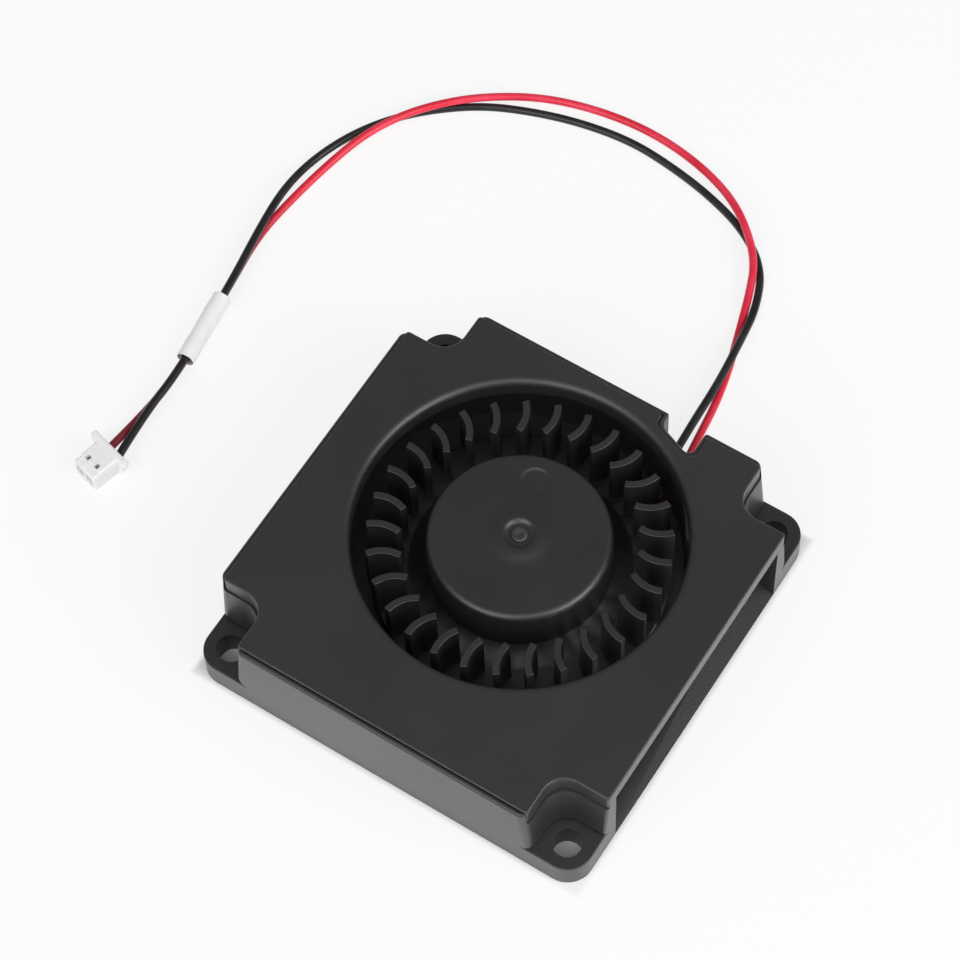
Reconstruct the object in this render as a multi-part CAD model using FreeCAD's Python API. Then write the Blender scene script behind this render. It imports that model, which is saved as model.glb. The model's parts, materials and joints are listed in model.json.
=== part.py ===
import FreeCAD, Part
import math
import os

# A small DC blower fan: a square flat housing with a scroll-shaped air channel, a drum impeller with
# forward-curved blades on an outer-rotor motor, and two loose leads that end in a two-pin plug.
# Millimetres. The origin is the centre of the square footprint on the underside; +Z points up through
# the air inlet, +X out of the air outlet, and the leads come out on the +Y side.

# Housing: overall sizes and walls
SIDE = 40.0
HEIGHT = 10.0
WALL = 1.2
FLOOR = 1.1
NOTCH = 5.2
EAR_HEIGHT = 3.0
EAR_CORNER_R = 2.4
HOLE_INSET = 2.5
HOLE_R = 1.35
SIDE_CORNER_R = 0.8
OUTLET_CORNER_R = 0.3
FOOT_FILLET = 0.6
RECESS_R = 13.0
RECESS_DEPTH = 0.15

# Cover: it lies inside the raised rim of the base and reaches down at the notches, lip and inlet
COVER_PLATE = 1.0
COVER_SKIRT = 1.0
COVER_GAP = 0.12
COVER_CHAMFER = 0.2
COVER_MIN_R = 0.3
RIM = 0.35
RIM_DROP = 0.25
RIM_CHAMFER = 0.12
LIP = 1.2
LIP_OVERLAP = 0.1
INLET_EDGE = 2.0
INLET_RING = 0.8
INLET_FILLET = 0.45

# Scroll: a growing spiral round the motor axis, then a straight run to the outlet
AXIS_Y = 2.8
TONGUE_CLEARANCE = 1.0
SCROLL_GROWTH = 0.09
TONGUE_INSET = 4.4
TONGUE_BEND_R = 0.3
SCROLL_STEPS = 22

# Lead groove in the +Y wall, with a slanted inner face and a low slot for the two leads
GROOVE_LEFT = 5.1
GROOVE_RIGHT = 8.8
GROOVE_FACE_INSET = 3.4
GROOVE_FACE_ANGLE = 68.4
GROOVE_MOUTH_R = 0.3
GROOVE_TIP_R = 0.6
GROOVE_INNER_R = 1.0
SLOT_LEFT = 4.9
SLOT_RIGHT = 7.85
SLOT_HEIGHT = 0.9
SLOT_REACH = 3.0
GUIDE_RIBS = ((2.8, 13.6), (7.5, 12.8))
GUIDE_RIB_WIDTH = 0.7
GUIDE_RIB_LENGTH = 1.6
GUIDE_RIB_HEIGHT = 0.8

# Motor: bearing, shaft and the parts that carry them
BOSS_R = 3.0
BOSS_HEIGHT = 0.9
SOCKET_DEPTH = 0.5
TUBE_R = 2.2
TUBE_BORE_R = 1.7
TUBE_TOP_GAP = 0.1
FIT = 0.02
PAD_HEIGHT = 0.4
SHAFT_R = 0.75
SHAFT_CLEARANCE = 0.03
SHAFT_CHAMFER = 0.15
SHAFT_FLOAT = 0.03
SHAFT_TOP_DROP = 0.05
RING_HEIGHT = 0.16
RING_R = 1.3
RING_GROOVE_DEPTH = 0.15
RING_LIFT = 0.4
RING_SLIT = 0.4
BEARING_LIFT = 1.4
WASHER_HEIGHT = 0.25
WASHER_RECESS = 0.35
WASHER_CLEARANCE = 0.1

# Rotor: hub, blades, yoke and magnet
HUB_SINK = 0.7
HUB_R = 8.28
HUB_FOOT_R = 8.4
HUB_EDGE_R = 0.4
HUB_PLATE = 0.8
HUB_BOSS_R = 1.55
HUB_BOSS_DEPTH = 0.8
HUB_RING_R = 1.6
HUB_RING_BORE_R = 1.05
HUB_RING_HEIGHT = 0.25
HUB_MARK_R = 1.25
HUB_MARK_DEPTH = 0.05
HUB_MARK_X = -1.6
HUB_MARK_Y = 5.2
WEB_TOP = 4.5
WEB_FOOT_GAP = 0.32
DISC_BOTTOM = 2.5
DISC_THICKNESS = 0.7
DISC_SET_BACK = 0.2
BLADE_COUNT = 29
BLADE_SINK = 0.8
BLADE_CLEARANCE = 1.6
BLADE_DEPTH = 2.98
BLADE_THICKNESS = 0.65
BLADE_BOW = 0.37
BLADE_LEAN = 2.9
BLADE_FIRST_ANGLE = 119.9
YOKE_R = 7.5
YOKE_WALL = 0.45
YOKE_BOTTOM = 3.0
MAGNET_WALL = 1.0
MAGNET_TOP_GAP = 0.75
MAGNET_LIFT = 0.1

# Stator: core, insulators, coils and circuit board
BOARD_R = 7.0
BOARD_THICKNESS = 0.6
COIL_BOARD_GAP = 0.5
COIL_TOP_GAP = 0.75
AIR_GAP = 0.25
CORE_RING_WALL = 1.2
POLE_COUNT = 4
POLE_ARM = 1.6
POLE_SHOE = 0.8
POLE_SPAN = 68.0
INSULATOR_PLATE = 0.35
INSULATOR_GUARD = 0.35
INSULATOR_COLLAR = 0.5
COIL_THICKNESS = 0.5
COIL_CLEARANCE = 0.05
COIL_CORNER_R = 0.3
CHIP_SIZE = (3.0, 1.6, 0.8)
CHIP_RADIUS = 5.4
CHIP_ANGLE = 250.0
CAPACITOR_SIZE = (1.6, 0.8, 0.7)
CAPACITOR_ANGLE = 180.0
RESISTOR_SIZE = (1.0, 0.5, 0.4)
RESISTOR_ANGLE = 320.0
PIN_R = 0.18
PIN_RING_R = 3.22
PIN_ANGLES = (0.0, 90.0, 180.0)
PIN_PROTRUSION = 0.45
PAD_RING_R = 6.3
BLACK_PAD_ANGLE = 76.0
RED_PAD_ANGLE = 60.0
SOLDER_R = 0.5
SOLDER_FLAT = 0.4
SOLDER_TAPER = 0.05
SOLDER_LIFT = 0.05

# Leads: one diameter, and their routes as chosen points from the groove wall to the plug
LEAD_R = 0.39
LEAD_RUN_IN = 2.0
BLACK_ROUTE = [
    (5.42, 18.51, 1.50), (5.35, 21.20, 1.45), (5.10, 24.80, 1.28), (4.95, 29.30, 1.24),
    (4.40, 34.20, 1.24), (3.75, 38.30, 0.72), (1.90, 42.60, 0.40), (-1.90, 45.40, 0.40),
    (-6.50, 47.00, 0.40), (-11.30, 47.95, 0.40), (-16.10, 48.40, 0.40), (-21.40, 47.70, 0.40),
    (-26.20, 46.30, 0.40), (-30.60, 44.40, 0.40), (-34.60, 41.40, 0.40), (-37.60, 38.20, 0.40),
    (-39.90, 34.40, 0.40), (-41.30, 29.90, 0.55), (-41.40, 25.40, 1.22), (-40.70, 20.20, 1.34),
    (-39.650, 14.817, 1.250), (-38.304, 3.744, 1.250), (-38.40, -1.20, 1.20), (-37.998, -6.362, 1.25),
]
RED_ROUTE = [
    (7.05, 17.86, 1.50), (6.75, 20.40, 1.42), (6.15, 23.70, 0.60), (5.72, 27.30, 0.40),
    (4.85, 31.40, 0.40), (3.50, 35.70, 0.40), (2.45, 39.20, 0.85), (1.10, 42.60, 1.24),
    (-2.20, 46.00, 1.24), (-6.00, 48.45, 0.62), (-11.00, 49.95, 0.40), (-16.10, 50.35, 0.40),
    (-21.40, 49.70, 0.40), (-26.20, 48.20, 0.45), (-30.20, 45.50, 0.95), (-33.30, 42.70, 1.24),
    (-36.30, 39.10, 1.24), (-38.30, 35.10, 1.15), (-39.60, 31.00, 0.45), (-40.35, 26.40, 0.40),
    (-40.90, 20.80, 0.40), (-40.168, 14.755, 0.590), (-38.822, 3.682, 0.590), (-39.12, -1.30, 0.60),
    (-39.205, -6.038, 1.25),
]
BLACK_INNER_BEND = (3.90, 13.20)
RED_INNER_BEND = (5.40, 12.40)

# Marker sleeve: a short white tube round both leads
SLEEVE_BORE_R = 0.84
SLEEVE_R = 0.92
SLEEVE_START = (-39.68, 12.9)
SLEEVE_END = (-38.78, 5.5)

# Plug: a two-way crimp housing, lying on the table
PLUG_REAR = (-38.6, -6.2)
PLUG_TURN = -105.0
PLUG_PITCH = 1.25
PLUG_LENGTH = 3.5
PLUG_WIDTH = 2.8
PLUG_HEIGHT = 2.5
PLUG_AXIS_Z = 1.25
FLANGE_LENGTH = 0.7
FLANGE_TOP_WIDTH = 5.0
FLANGE_FOOT_WIDTH = 3.2
STEP_LENGTH = 0.8
STEP_DROP = 0.35
WINDOW_LENGTH = 0.6
WINDOW_WIDTH = 0.7
WINDOW_START = 2.0
CAVITY_WIDTH = 0.95
CAVITY_HEIGHT = 1.2
CAVITY_START = 1.1
TERMINAL_CLEARANCE = 0.05
BARREL_R = 0.36
BARREL_RECESS = 0.15
TERMINAL_WALL = 0.15
TERMINAL_FLOOR = 0.5
TERMINAL_SET_BACK = 0.3

HALF = SIDE / 2
NOTCH_FACE = HALF - NOTCH
HOLE_OFFSET = HALF - HOLE_INSET
NOTCH_CORNER_R = HOLE_OFFSET - NOTCH_FACE
SEAT = HEIGHT - COVER_PLATE
SKIRT_BOTTOM = SEAT - COVER_SKIRT
RIM_TOP = HEIGHT - RIM_DROP
COVER_INSET = RIM + COVER_GAP
END_WALL = NOTCH_FACE - WALL
INLET_R = HALF - AXIS_Y - INLET_EDGE
BLADE_TIP_R = INLET_R - BLADE_CLEARANCE
BLADE_ROOT_R = BLADE_TIP_R - BLADE_DEPTH
DISC_R = BLADE_TIP_R - DISC_SET_BACK
WEB_FOOT_R = BLADE_ROOT_R - WEB_FOOT_GAP
SCROLL_START_R = BLADE_TIP_R + TONGUE_CLEARANCE
TONGUE_Y = NOTCH_FACE - TONGUE_INSET
GROOVE_FACE_R = HALF - GROOVE_FACE_INSET
BOSS_TOP = FLOOR + BOSS_HEIGHT
SOCKET_Z = FLOOR - SOCKET_DEPTH
BOARD_TOP = BOSS_TOP + BOARD_THICKNESS
DISC_TOP = DISC_BOTTOM + DISC_THICKNESS
HUB_TOP = HEIGHT - HUB_SINK
BLADE_TOP = HEIGHT - BLADE_SINK
HUB_INNER_R = YOKE_R + FIT
YOKE_TOP = HUB_TOP - HUB_PLATE
YOKE_ROOF = YOKE_TOP - YOKE_WALL
HUB_BOSS_BOTTOM = YOKE_TOP - HUB_BOSS_DEPTH
TUBE_TOP = HUB_BOSS_BOTTOM - TUBE_TOP_GAP
BEARING_BOTTOM = SOCKET_Z + BEARING_LIFT
BEARING_TOP = TUBE_TOP - WASHER_RECESS - WASHER_HEIGHT
RING_BOTTOM = SOCKET_Z + PAD_HEIGHT + RING_LIFT
COIL_REACH = INSULATOR_PLATE + COIL_CLEARANCE + COIL_THICKNESS
CORE_BOTTOM = BOARD_TOP + COIL_BOARD_GAP + COIL_REACH
CORE_TOP = YOKE_ROOF - COIL_TOP_GAP - COIL_REACH
YOKE_INNER_R = YOKE_R - YOKE_WALL
MAGNET_R = YOKE_INNER_R - FIT
MAGNET_INNER_R = MAGNET_R - MAGNET_WALL
CORE_R = MAGNET_INNER_R - AIR_GAP
CORE_BORE_R = TUBE_R + FIT
UP = FreeCAD.Vector(0, 0, 1)

# How far cutters reach past what they cut, the share of an edge that a corner's arc may take, and the
# distance at which two places count as the same
BEYOND = 1.0
ARC_SHARE = 0.45
NEAR = 1e-6


def vector(x, y, z=0.0):
    """A point or direction in millimetres."""
    return FreeCAD.Vector(x, y, z)


def prism(face, bottom, top):
    """A flat face carried up from one height to another."""
    base = face.copy()
    base.translate(vector(0, 0, bottom))
    return base.extrude(vector(0, 0, top - bottom))


def cylinder(radius, bottom, top, x=0.0, y=0.0):
    """An upright cylinder between two heights."""
    return Part.makeCylinder(radius, top - bottom, vector(x, y, bottom))


def tube(inner, outer, bottom, top, x=0.0, y=0.0):
    """An upright tube between two heights."""
    return cylinder(outer, bottom, top, x, y).cut(cylinder(inner, bottom, top, x, y))


def block(low, high):
    """A box from its lowest to its highest corner."""
    return Part.makeBox(high[0] - low[0], high[1] - low[1], high[2] - low[2], vector(*low))


def polar(radius, degrees, z=0.0):
    """A point at a radius and an angle from the origin."""
    angle = math.radians(degrees)
    return vector(radius * math.cos(angle), radius * math.sin(angle), z)


def joined(shapes):
    """Several solids fused into one."""
    return shapes[0].multiFuse(shapes[1:]).removeSplitter()


def on_axis(shape):
    """Moves what was built round the origin to the motor axis."""
    moved = shape.copy()
    moved.translate(vector(0, AXIS_Y, 0))
    return moved


def rounded_wire(corners):
    """A closed outline through corners given as x, y, radius, in counter-clockwise order.

    Each corner is an arc tangent to both edges, limited to what its two edges leave for it.
    """
    count = len(corners)
    starts = []
    ends = []
    middles = []
    for index, (x, y, radius) in enumerate(corners):
        here = vector(x, y)
        before = vector(*corners[index - 1][:2])
        after = vector(*corners[(index + 1) % count][:2])
        arriving = here - before
        leaving = after - here
        turn = arriving.getAngle(leaving)
        reach = min(radius * math.tan(turn / 2), ARC_SHARE * arriving.Length, ARC_SHARE * leaving.Length)
        arriving.normalize()
        leaving.normalize()
        radius = reach / math.tan(turn / 2)
        inward = leaving - arriving
        inward.normalize()
        middle = here + inward * (radius / math.cos(turn / 2) - radius)
        starts.append(here - arriving * reach)
        middles.append(middle)
        ends.append(here + leaving * reach)
    edges = []
    for index in range(count):
        if starts[index].distanceToPoint(ends[index]) > NEAR:
            edges.append(Part.Arc(starts[index], middles[index], ends[index]).toShape())
        following = starts[(index + 1) % count]
        edges.append(Part.LineSegment(ends[index], following).toShape())
    return Part.Wire(edges)


def rounded_face(corners):
    """The flat face inside a rounded outline."""
    return Part.Face(rounded_wire(corners))


def inset(corners, kinds, distances, least_radius=0.15):
    """The outline with each kind of edge moved inwards by its own distance."""
    count = len(corners)
    lines = []
    for index in range(count):
        x0, y0, _ = corners[index]
        x1, y1, _ = corners[(index + 1) % count]
        along = vector(x1 - x0, y1 - y0)
        along.normalize()
        shift = distances[kinds[index]]
        lines.append((vector(x0 - along.y * shift, y0 + along.x * shift), along, shift))
    moved = []
    for index in range(count):
        point_a, along_a, shift_a = lines[index - 1]
        point_b, along_b, shift_b = lines[index]
        cross = along_a.x * along_b.y - along_a.y * along_b.x
        gap = point_b - point_a
        step = (gap.x * along_b.y - gap.y * along_b.x) / cross
        corner = point_a + along_a * step
        change = -max(shift_a, shift_b) if cross > 0 else max(shift_a, shift_b)
        moved.append((corner.x, corner.y, max(corners[index][2] + change, least_radius)))
    return moved


def groove_face_y(x):
    """The height along +Y of the groove's slanted inner face at x."""
    angle = math.radians(GROOVE_FACE_ANGLE)
    return AXIS_Y + (GROOVE_FACE_R - x * math.cos(angle)) / math.sin(angle)


# The notched outline of the walls, from the outlet's lower end, and the kind of the edge after each
OUTLINE = [
    (HALF, -NOTCH_FACE, OUTLET_CORNER_R), (HALF, NOTCH_FACE, OUTLET_CORNER_R),
    (NOTCH_FACE, NOTCH_FACE, NOTCH_CORNER_R), (NOTCH_FACE, HALF, SIDE_CORNER_R),
    (GROOVE_RIGHT, HALF, GROOVE_MOUTH_R), (GROOVE_RIGHT, groove_face_y(GROOVE_RIGHT), GROOVE_TIP_R),
    (GROOVE_LEFT, groove_face_y(GROOVE_LEFT), GROOVE_INNER_R), (GROOVE_LEFT, HALF, GROOVE_MOUTH_R),
    (-NOTCH_FACE, HALF, SIDE_CORNER_R), (-NOTCH_FACE, NOTCH_FACE, NOTCH_CORNER_R),
    (-HALF, NOTCH_FACE, SIDE_CORNER_R), (-HALF, -NOTCH_FACE, SIDE_CORNER_R),
    (-NOTCH_FACE, -NOTCH_FACE, NOTCH_CORNER_R), (-NOTCH_FACE, -HALF, SIDE_CORNER_R),
    (NOTCH_FACE, -HALF, SIDE_CORNER_R), (NOTCH_FACE, -NOTCH_FACE, NOTCH_CORNER_R),
]
KINDS = [
    "outlet", "notch", "notch", "side", "groove", "groove", "groove", "side",
    "notch", "notch", "side", "notch", "notch", "side", "notch", "notch",
]


def outline_inset(side, notch, outlet, least_radius=0.15):
    """The notched outline moved inwards along its sides, its notches and its outlet face."""
    distances = {"side": side, "groove": side, "notch": notch, "outlet": outlet}
    return rounded_face(inset(OUTLINE, KINDS, distances, least_radius))


def corner_blocks(start, bottom, top):
    """The four corner regions beyond a distance from the centre, as boxes."""
    blocks = []
    for across in (-1, 1):
        for along in (-1, 1):
            x_ends = sorted((across * start, across * (HALF + BEYOND)))
            y_ends = sorted((along * start, along * (HALF + BEYOND)))
            blocks.append(block((x_ends[0], y_ends[0], bottom), (x_ends[1], y_ends[1], top)))
    return blocks


def scroll_normal(angle):
    """The spiral's outward normal at an angle from the motor axis."""
    lean = math.atan(SCROLL_GROWTH)
    return vector(math.cos(angle - lean), math.sin(angle - lean))


def scroll_point(angle, start, offset):
    """A point of the spiral, moved outwards along its normal."""
    radius = SCROLL_START_R * math.exp(SCROLL_GROWTH * (angle - start))
    on_spiral = vector(radius * math.cos(angle), AXIS_Y + radius * math.sin(angle))
    return on_spiral + scroll_normal(angle) * offset


def scroll_start_angle():
    """The angle at which the tongue's inner bend leaves the spiral, found by halving."""
    nominal = math.asin((TONGUE_Y - AXIS_Y) / SCROLL_START_R)
    bend = TONGUE_BEND_R + WALL
    low = nominal
    high = nominal + 0.6
    for _ in range(50):
        angle = (low + high) / 2
        if scroll_point(angle, nominal, bend).y < TONGUE_Y + bend:
            low = angle
        else:
            high = angle
    return nominal, angle


def scroll_face(offset, reach):
    """The flow space in plan, its wall moved outwards by an offset and open towards the outlet."""
    nominal, start = scroll_start_angle()
    bend = TONGUE_BEND_R + WALL
    end = 1.5 * math.pi + math.atan(SCROLL_GROWTH)
    points = []
    for step in range(SCROLL_STEPS + 1):
        angle = start + (end - start) * step / SCROLL_STEPS
        points.append(scroll_point(angle, nominal, offset))
    spiral = Part.BSplineCurve()
    spiral.interpolate(points)
    bend_centre = scroll_point(start, nominal, bend)
    radius = bend - offset
    mouth = vector(bend_centre.x, bend_centre.y - radius)
    half_way = scroll_normal(start) + vector(0, 1)
    half_way.normalize()
    bend_middle = bend_centre - half_way * radius
    low_corner = vector(reach, points[-1].y)
    high_corner = vector(reach, mouth.y)
    edges = [
        spiral.toShape(),
        Part.LineSegment(points[-1], low_corner).toShape(),
        Part.LineSegment(low_corner, high_corner).toShape(),
        Part.LineSegment(high_corner, mouth).toShape(),
        Part.Arc(mouth, bend_middle, points[0]).toShape(),
    ]
    return Part.Face(Part.Wire(edges))


def mounting_ears():
    """Four low ears that fill the notches."""
    corners = [
        (HALF, -HALF, EAR_CORNER_R), (HALF, HALF, EAR_CORNER_R),
        (-HALF, HALF, EAR_CORNER_R), (-HALF, -HALF, EAR_CORNER_R),
    ]
    plate = prism(rounded_face(corners), 0, EAR_HEIGHT)
    return plate.common(joined(corner_blocks(END_WALL, 0, EAR_HEIGHT)))


def foot_fillets():
    """The small concave fillets where the notch walls stand on the ears."""
    radius = FOOT_FILLET
    low = vector(0, 0, EAR_HEIGHT)
    bend = vector(radius * (1 - math.sqrt(0.5)), 0, EAR_HEIGHT + radius * (1 - math.sqrt(0.5)))
    rise = vector(0, 0, radius)
    run = vector(radius, 0, 0)
    profile = Part.Wire([
        Part.LineSegment(low + run, low).toShape(),
        Part.LineSegment(low, low + rise).toShape(),
        Part.Arc(low + rise, bend, low + run).toShape(),
    ])
    straight = HALF - OUTLET_CORNER_R - HOLE_OFFSET
    wall_run = Part.Face(profile)
    wall_run.translate(vector(NOTCH_FACE, HOLE_OFFSET, 0))
    first = wall_run.extrude(vector(0, straight - SIDE_CORNER_R + OUTLET_CORNER_R, 0))
    turned = Part.Face(profile)
    turned.rotate(vector(0, 0, 0), UP, 90)
    turned.translate(vector(HOLE_OFFSET, NOTCH_FACE, 0))
    second = turned.extrude(vector(straight, 0, 0))
    corner = wall_run.revolve(vector(HOLE_OFFSET, HOLE_OFFSET, 0), UP, 90)
    one = joined([first, second, corner])
    fillets = []
    for across in (False, True):
        for along in (False, True):
            copy = one.copy()
            if across:
                copy = copy.mirror(vector(0, 0, 0), vector(1, 0, 0))
            if along:
                copy = copy.mirror(vector(0, 0, 0), vector(0, 1, 0))
            fillets.append(copy)
    return fillets


def rim_recess(bottom):
    """The space inside the rim, open over the notches and at the outlet, from a height upwards."""
    return prism(outline_inset(RIM, -BEYOND, -BEYOND), bottom, HEIGHT)


def base_housing():
    """The lower shell: floor, scroll wall, outer walls with their rim, ears and bearing boss."""
    inside = prism(outline_inset(WALL, WALL, -BEYOND), FLOOR, HEIGHT)
    scroll_outer = prism(scroll_face(WALL, HALF + 2 * BEYOND), FLOOR, HEIGHT)
    scroll_inner = prism(scroll_face(0.0, HALF + 2 * BEYOND), FLOOR, HEIGHT)
    shell = prism(rounded_face(OUTLINE), 0, RIM_TOP)
    rim_edges = []
    for edge in shell.Edges:
        if edge.BoundBox.ZMin > RIM_TOP - NEAR:
            rim_edges.append(edge)
    shell = shell.makeChamfer(RIM_CHAMFER, rim_edges)
    shell = shell.cut(rim_recess(SEAT))
    shell = shell.cut(inside.cut(scroll_outer))
    shell = shell.cut(inside.common(scroll_inner))
    tongue_end = HALF - LIP - COVER_GAP - WALL / 2
    shell = shell.cut(block((tongue_end, -END_WALL, FLOOR), (HALF + BEYOND, END_WALL, HEIGHT)))
    shell = shell.fuse(cylinder(WALL / 2, FLOOR, SEAT, tongue_end, TONGUE_Y + WALL / 2))
    corners = joined(corner_blocks(END_WALL - COVER_GAP, SKIRT_BOTTOM, HEIGHT))
    shell = shell.cut(corners.common(rim_recess(SKIRT_BOTTOM)))
    shell = shell.cut(cylinder(INLET_R + INLET_RING + COVER_GAP, SKIRT_BOTTOM, HEIGHT, 0, AXIS_Y))
    pieces = [shell, mounting_ears()] + foot_fillets()
    pieces.append(cylinder(BOSS_R, 0, BOSS_TOP, 0, AXIS_Y))
    for x, y in GUIDE_RIBS:
        high = (x + GUIDE_RIB_WIDTH, y + GUIDE_RIB_LENGTH, FLOOR + GUIDE_RIB_HEIGHT)
        pieces.append(block((x, y, FLOOR / 2), high))
    body = joined(pieces)
    for x in (-HOLE_OFFSET, HOLE_OFFSET):
        for y in (-HOLE_OFFSET, HOLE_OFFSET):
            body = body.cut(cylinder(HOLE_R, -BEYOND, EAR_HEIGHT + BEYOND, x, y))
    body = body.cut(cylinder(RECESS_R, -BEYOND, RECESS_DEPTH, 0, AXIS_Y))
    body = body.cut(cylinder(TUBE_R + FIT, SOCKET_Z, BOSS_TOP + BEYOND, 0, AXIS_Y))
    slot_start = AXIS_Y + SCROLL_START_R - SLOT_REACH
    slot_end = (SLOT_RIGHT, HALF + BEYOND, FLOOR + SLOT_HEIGHT)
    return body.cut(block((SLOT_LEFT, slot_start, FLOOR), slot_end))


def top_cover():
    """The upper shell: a plate with the round inlet, its ring, the outlet lip and the notch skirts."""
    face = outline_inset(COVER_INSET, 0.0, 0.0, COVER_MIN_R)
    plate = prism(face, SEAT, HEIGHT)
    top_edges = []
    for edge in plate.Edges:
        if edge.BoundBox.ZMin > HEIGHT - NEAR:
            top_edges.append(edge)
    plate = plate.makeChamfer(COVER_CHAMFER, top_edges)
    inside = prism(outline_inset(WALL, WALL, -BEYOND), SKIRT_BOTTOM, SEAT)
    skirts = prism(face, SKIRT_BOTTOM, SEAT).cut(inside)
    skirts = skirts.common(joined(corner_blocks(END_WALL, SKIRT_BOTTOM, SEAT)))
    lip_end = END_WALL + LIP_OVERLAP
    lip = block((HALF - LIP, -lip_end, SKIRT_BOTTOM), (HALF, lip_end, SEAT))
    ring = cylinder(INLET_R + INLET_RING, SKIRT_BOTTOM, SEAT, 0, AXIS_Y)
    cover = joined([plate, ring, lip] + skirts.Solids)
    cover = cover.cut(cylinder(INLET_R, 0, HEIGHT + BEYOND, 0, AXIS_Y))
    inlet_edges = []
    for edge in cover.Edges:
        round_edge = edge.Curve.TypeId == "Part::GeomCircle" and abs(edge.Curve.Radius - INLET_R) < NEAR
        if round_edge and edge.BoundBox.ZMin > HEIGHT - NEAR:
            inlet_edges.append(edge)
    return cover.makeFillet(INLET_FILLET, inlet_edges)


def bearing_tube():
    """The tube that stands in the floor boss and carries the bearing and the stator."""
    return on_axis(tube(TUBE_BORE_R, TUBE_R, SOCKET_Z, TUBE_TOP))


def thrust_pad():
    """The low-friction disc under the end of the shaft."""
    return on_axis(cylinder(TUBE_BORE_R - FIT, SOCKET_Z, SOCKET_Z + PAD_HEIGHT))


def sleeve_bearing():
    """The sintered sleeve bearing, with the shaft's running clearance in its bore."""
    return on_axis(tube(SHAFT_R + SHAFT_CLEARANCE, TUBE_BORE_R - FIT, BEARING_BOTTOM, BEARING_TOP))


def oil_seal_washer():
    """The washer that keeps oil in, lying on the sleeve bearing."""
    bore = SHAFT_R + WASHER_CLEARANCE
    return on_axis(tube(bore, TUBE_BORE_R - FIT, BEARING_TOP, BEARING_TOP + WASHER_HEIGHT))


def shaft():
    """The motor shaft, with chamfered ends and a groove for its retaining ring."""
    bottom = SOCKET_Z + PAD_HEIGHT + SHAFT_FLOAT
    top = HUB_TOP + HUB_RING_HEIGHT - SHAFT_TOP_DROP
    body = cylinder(SHAFT_R, bottom, top)
    ends = [edge for edge in body.Edges if edge.Curve.TypeId == "Part::GeomCircle"]
    body = body.makeChamfer(SHAFT_CHAMFER, ends)
    groove_r = SHAFT_R - RING_GROOVE_DEPTH
    groove = tube(groove_r, RING_R, RING_BOTTOM - FIT, RING_BOTTOM + RING_HEIGHT + FIT)
    return on_axis(body.cut(groove))


def retaining_ring():
    """The slit ring that snaps into the shaft groove and holds the rotor in."""
    ring = tube(SHAFT_R - RING_GROOVE_DEPTH + FIT, RING_R, RING_BOTTOM, RING_BOTTOM + RING_HEIGHT)
    slit = block((0, -RING_SLIT / 2, 0), (RING_R + BEYOND, RING_SLIT / 2, HEIGHT))
    return on_axis(ring.cut(slit))


def hub_profile():
    """Half of the hub, web and disc as a closed outline in radius and height."""
    return [
        (SHAFT_R + FIT / 2, HUB_BOSS_BOTTOM),
        (HUB_BOSS_R, HUB_BOSS_BOTTOM),
        (HUB_BOSS_R, YOKE_TOP),
        (HUB_INNER_R, YOKE_TOP),
        (HUB_INNER_R, DISC_BOTTOM),
        (DISC_R, DISC_BOTTOM),
        (DISC_R, DISC_TOP),
        (WEB_FOOT_R, DISC_TOP),
        (HUB_FOOT_R, WEB_TOP),
        (HUB_R, HUB_TOP),
        (HUB_RING_R, HUB_TOP),
        (HUB_RING_R, HUB_TOP + HUB_RING_HEIGHT),
        (HUB_RING_BORE_R, HUB_TOP + HUB_RING_HEIGHT),
        (HUB_RING_BORE_R, HUB_TOP),
        (SHAFT_R + FIT / 2, HUB_TOP),
    ]


def blade_face():
    """One forward-curved blade in plan: two arcs side by side with flat ends."""
    half = BLADE_THICKNESS / 2
    tip = polar(BLADE_TIP_R, 0)
    root = polar(BLADE_ROOT_R, BLADE_LEAN)
    chord = tip - root
    middle = (tip + root) * 0.5
    sideways = vector(chord.y, -chord.x)
    sideways.normalize()
    bow_radius = (chord.Length ** 2 / 4 + BLADE_BOW ** 2) / (2 * BLADE_BOW)
    centre = middle + sideways * (BLADE_BOW - bow_radius)
    sides = []
    for radius in (bow_radius + half, bow_radius - half):
        ends = []
        for end in (root, tip):
            spoke = end - centre
            spoke.normalize()
            ends.append(centre + spoke * radius)
        sides.append((ends[0], centre + sideways * radius, ends[1]))
    edges = [
        Part.Arc(*sides[0]).toShape(),
        Part.LineSegment(sides[0][2], sides[1][2]).toShape(),
        Part.Arc(sides[1][2], sides[1][1], sides[1][0]).toShape(),
        Part.LineSegment(sides[1][0], sides[0][0]).toShape(),
    ]
    return Part.Face(Part.Wire(edges))


def impeller():
    """The moulded drum impeller: hub, web, disc and a ring of forward-curved blades."""
    corners = [vector(radius, 0, z) for radius, z in hub_profile()]
    outline = Part.makePolygon(corners + corners[:1])
    hub = Part.Face(outline).revolve(vector(0, 0, 0), UP, 360)
    rim = []
    for edge in hub.Edges:
        circle = edge.Curve.TypeId == "Part::GeomCircle" and abs(edge.Curve.Radius - HUB_R) < NEAR
        if circle and edge.BoundBox.ZMin > HUB_TOP - NEAR:
            rim.append(edge)
    hub = hub.makeFillet(HUB_EDGE_R, rim)
    mark_floor = HUB_TOP - HUB_MARK_DEPTH
    hub = hub.cut(cylinder(HUB_MARK_R, mark_floor, HUB_TOP + BEYOND, HUB_MARK_X, HUB_MARK_Y))
    blade = prism(blade_face(), DISC_TOP - DISC_THICKNESS / 2, BLADE_TOP)
    pieces = [hub]
    for index in range(BLADE_COUNT):
        copy = blade.copy()
        copy.rotate(vector(0, 0, 0), UP, BLADE_FIRST_ANGLE + 360.0 * index / BLADE_COUNT)
        pieces.append(copy)
    return on_axis(pieces[0].multiFuse(pieces[1:]))


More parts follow.
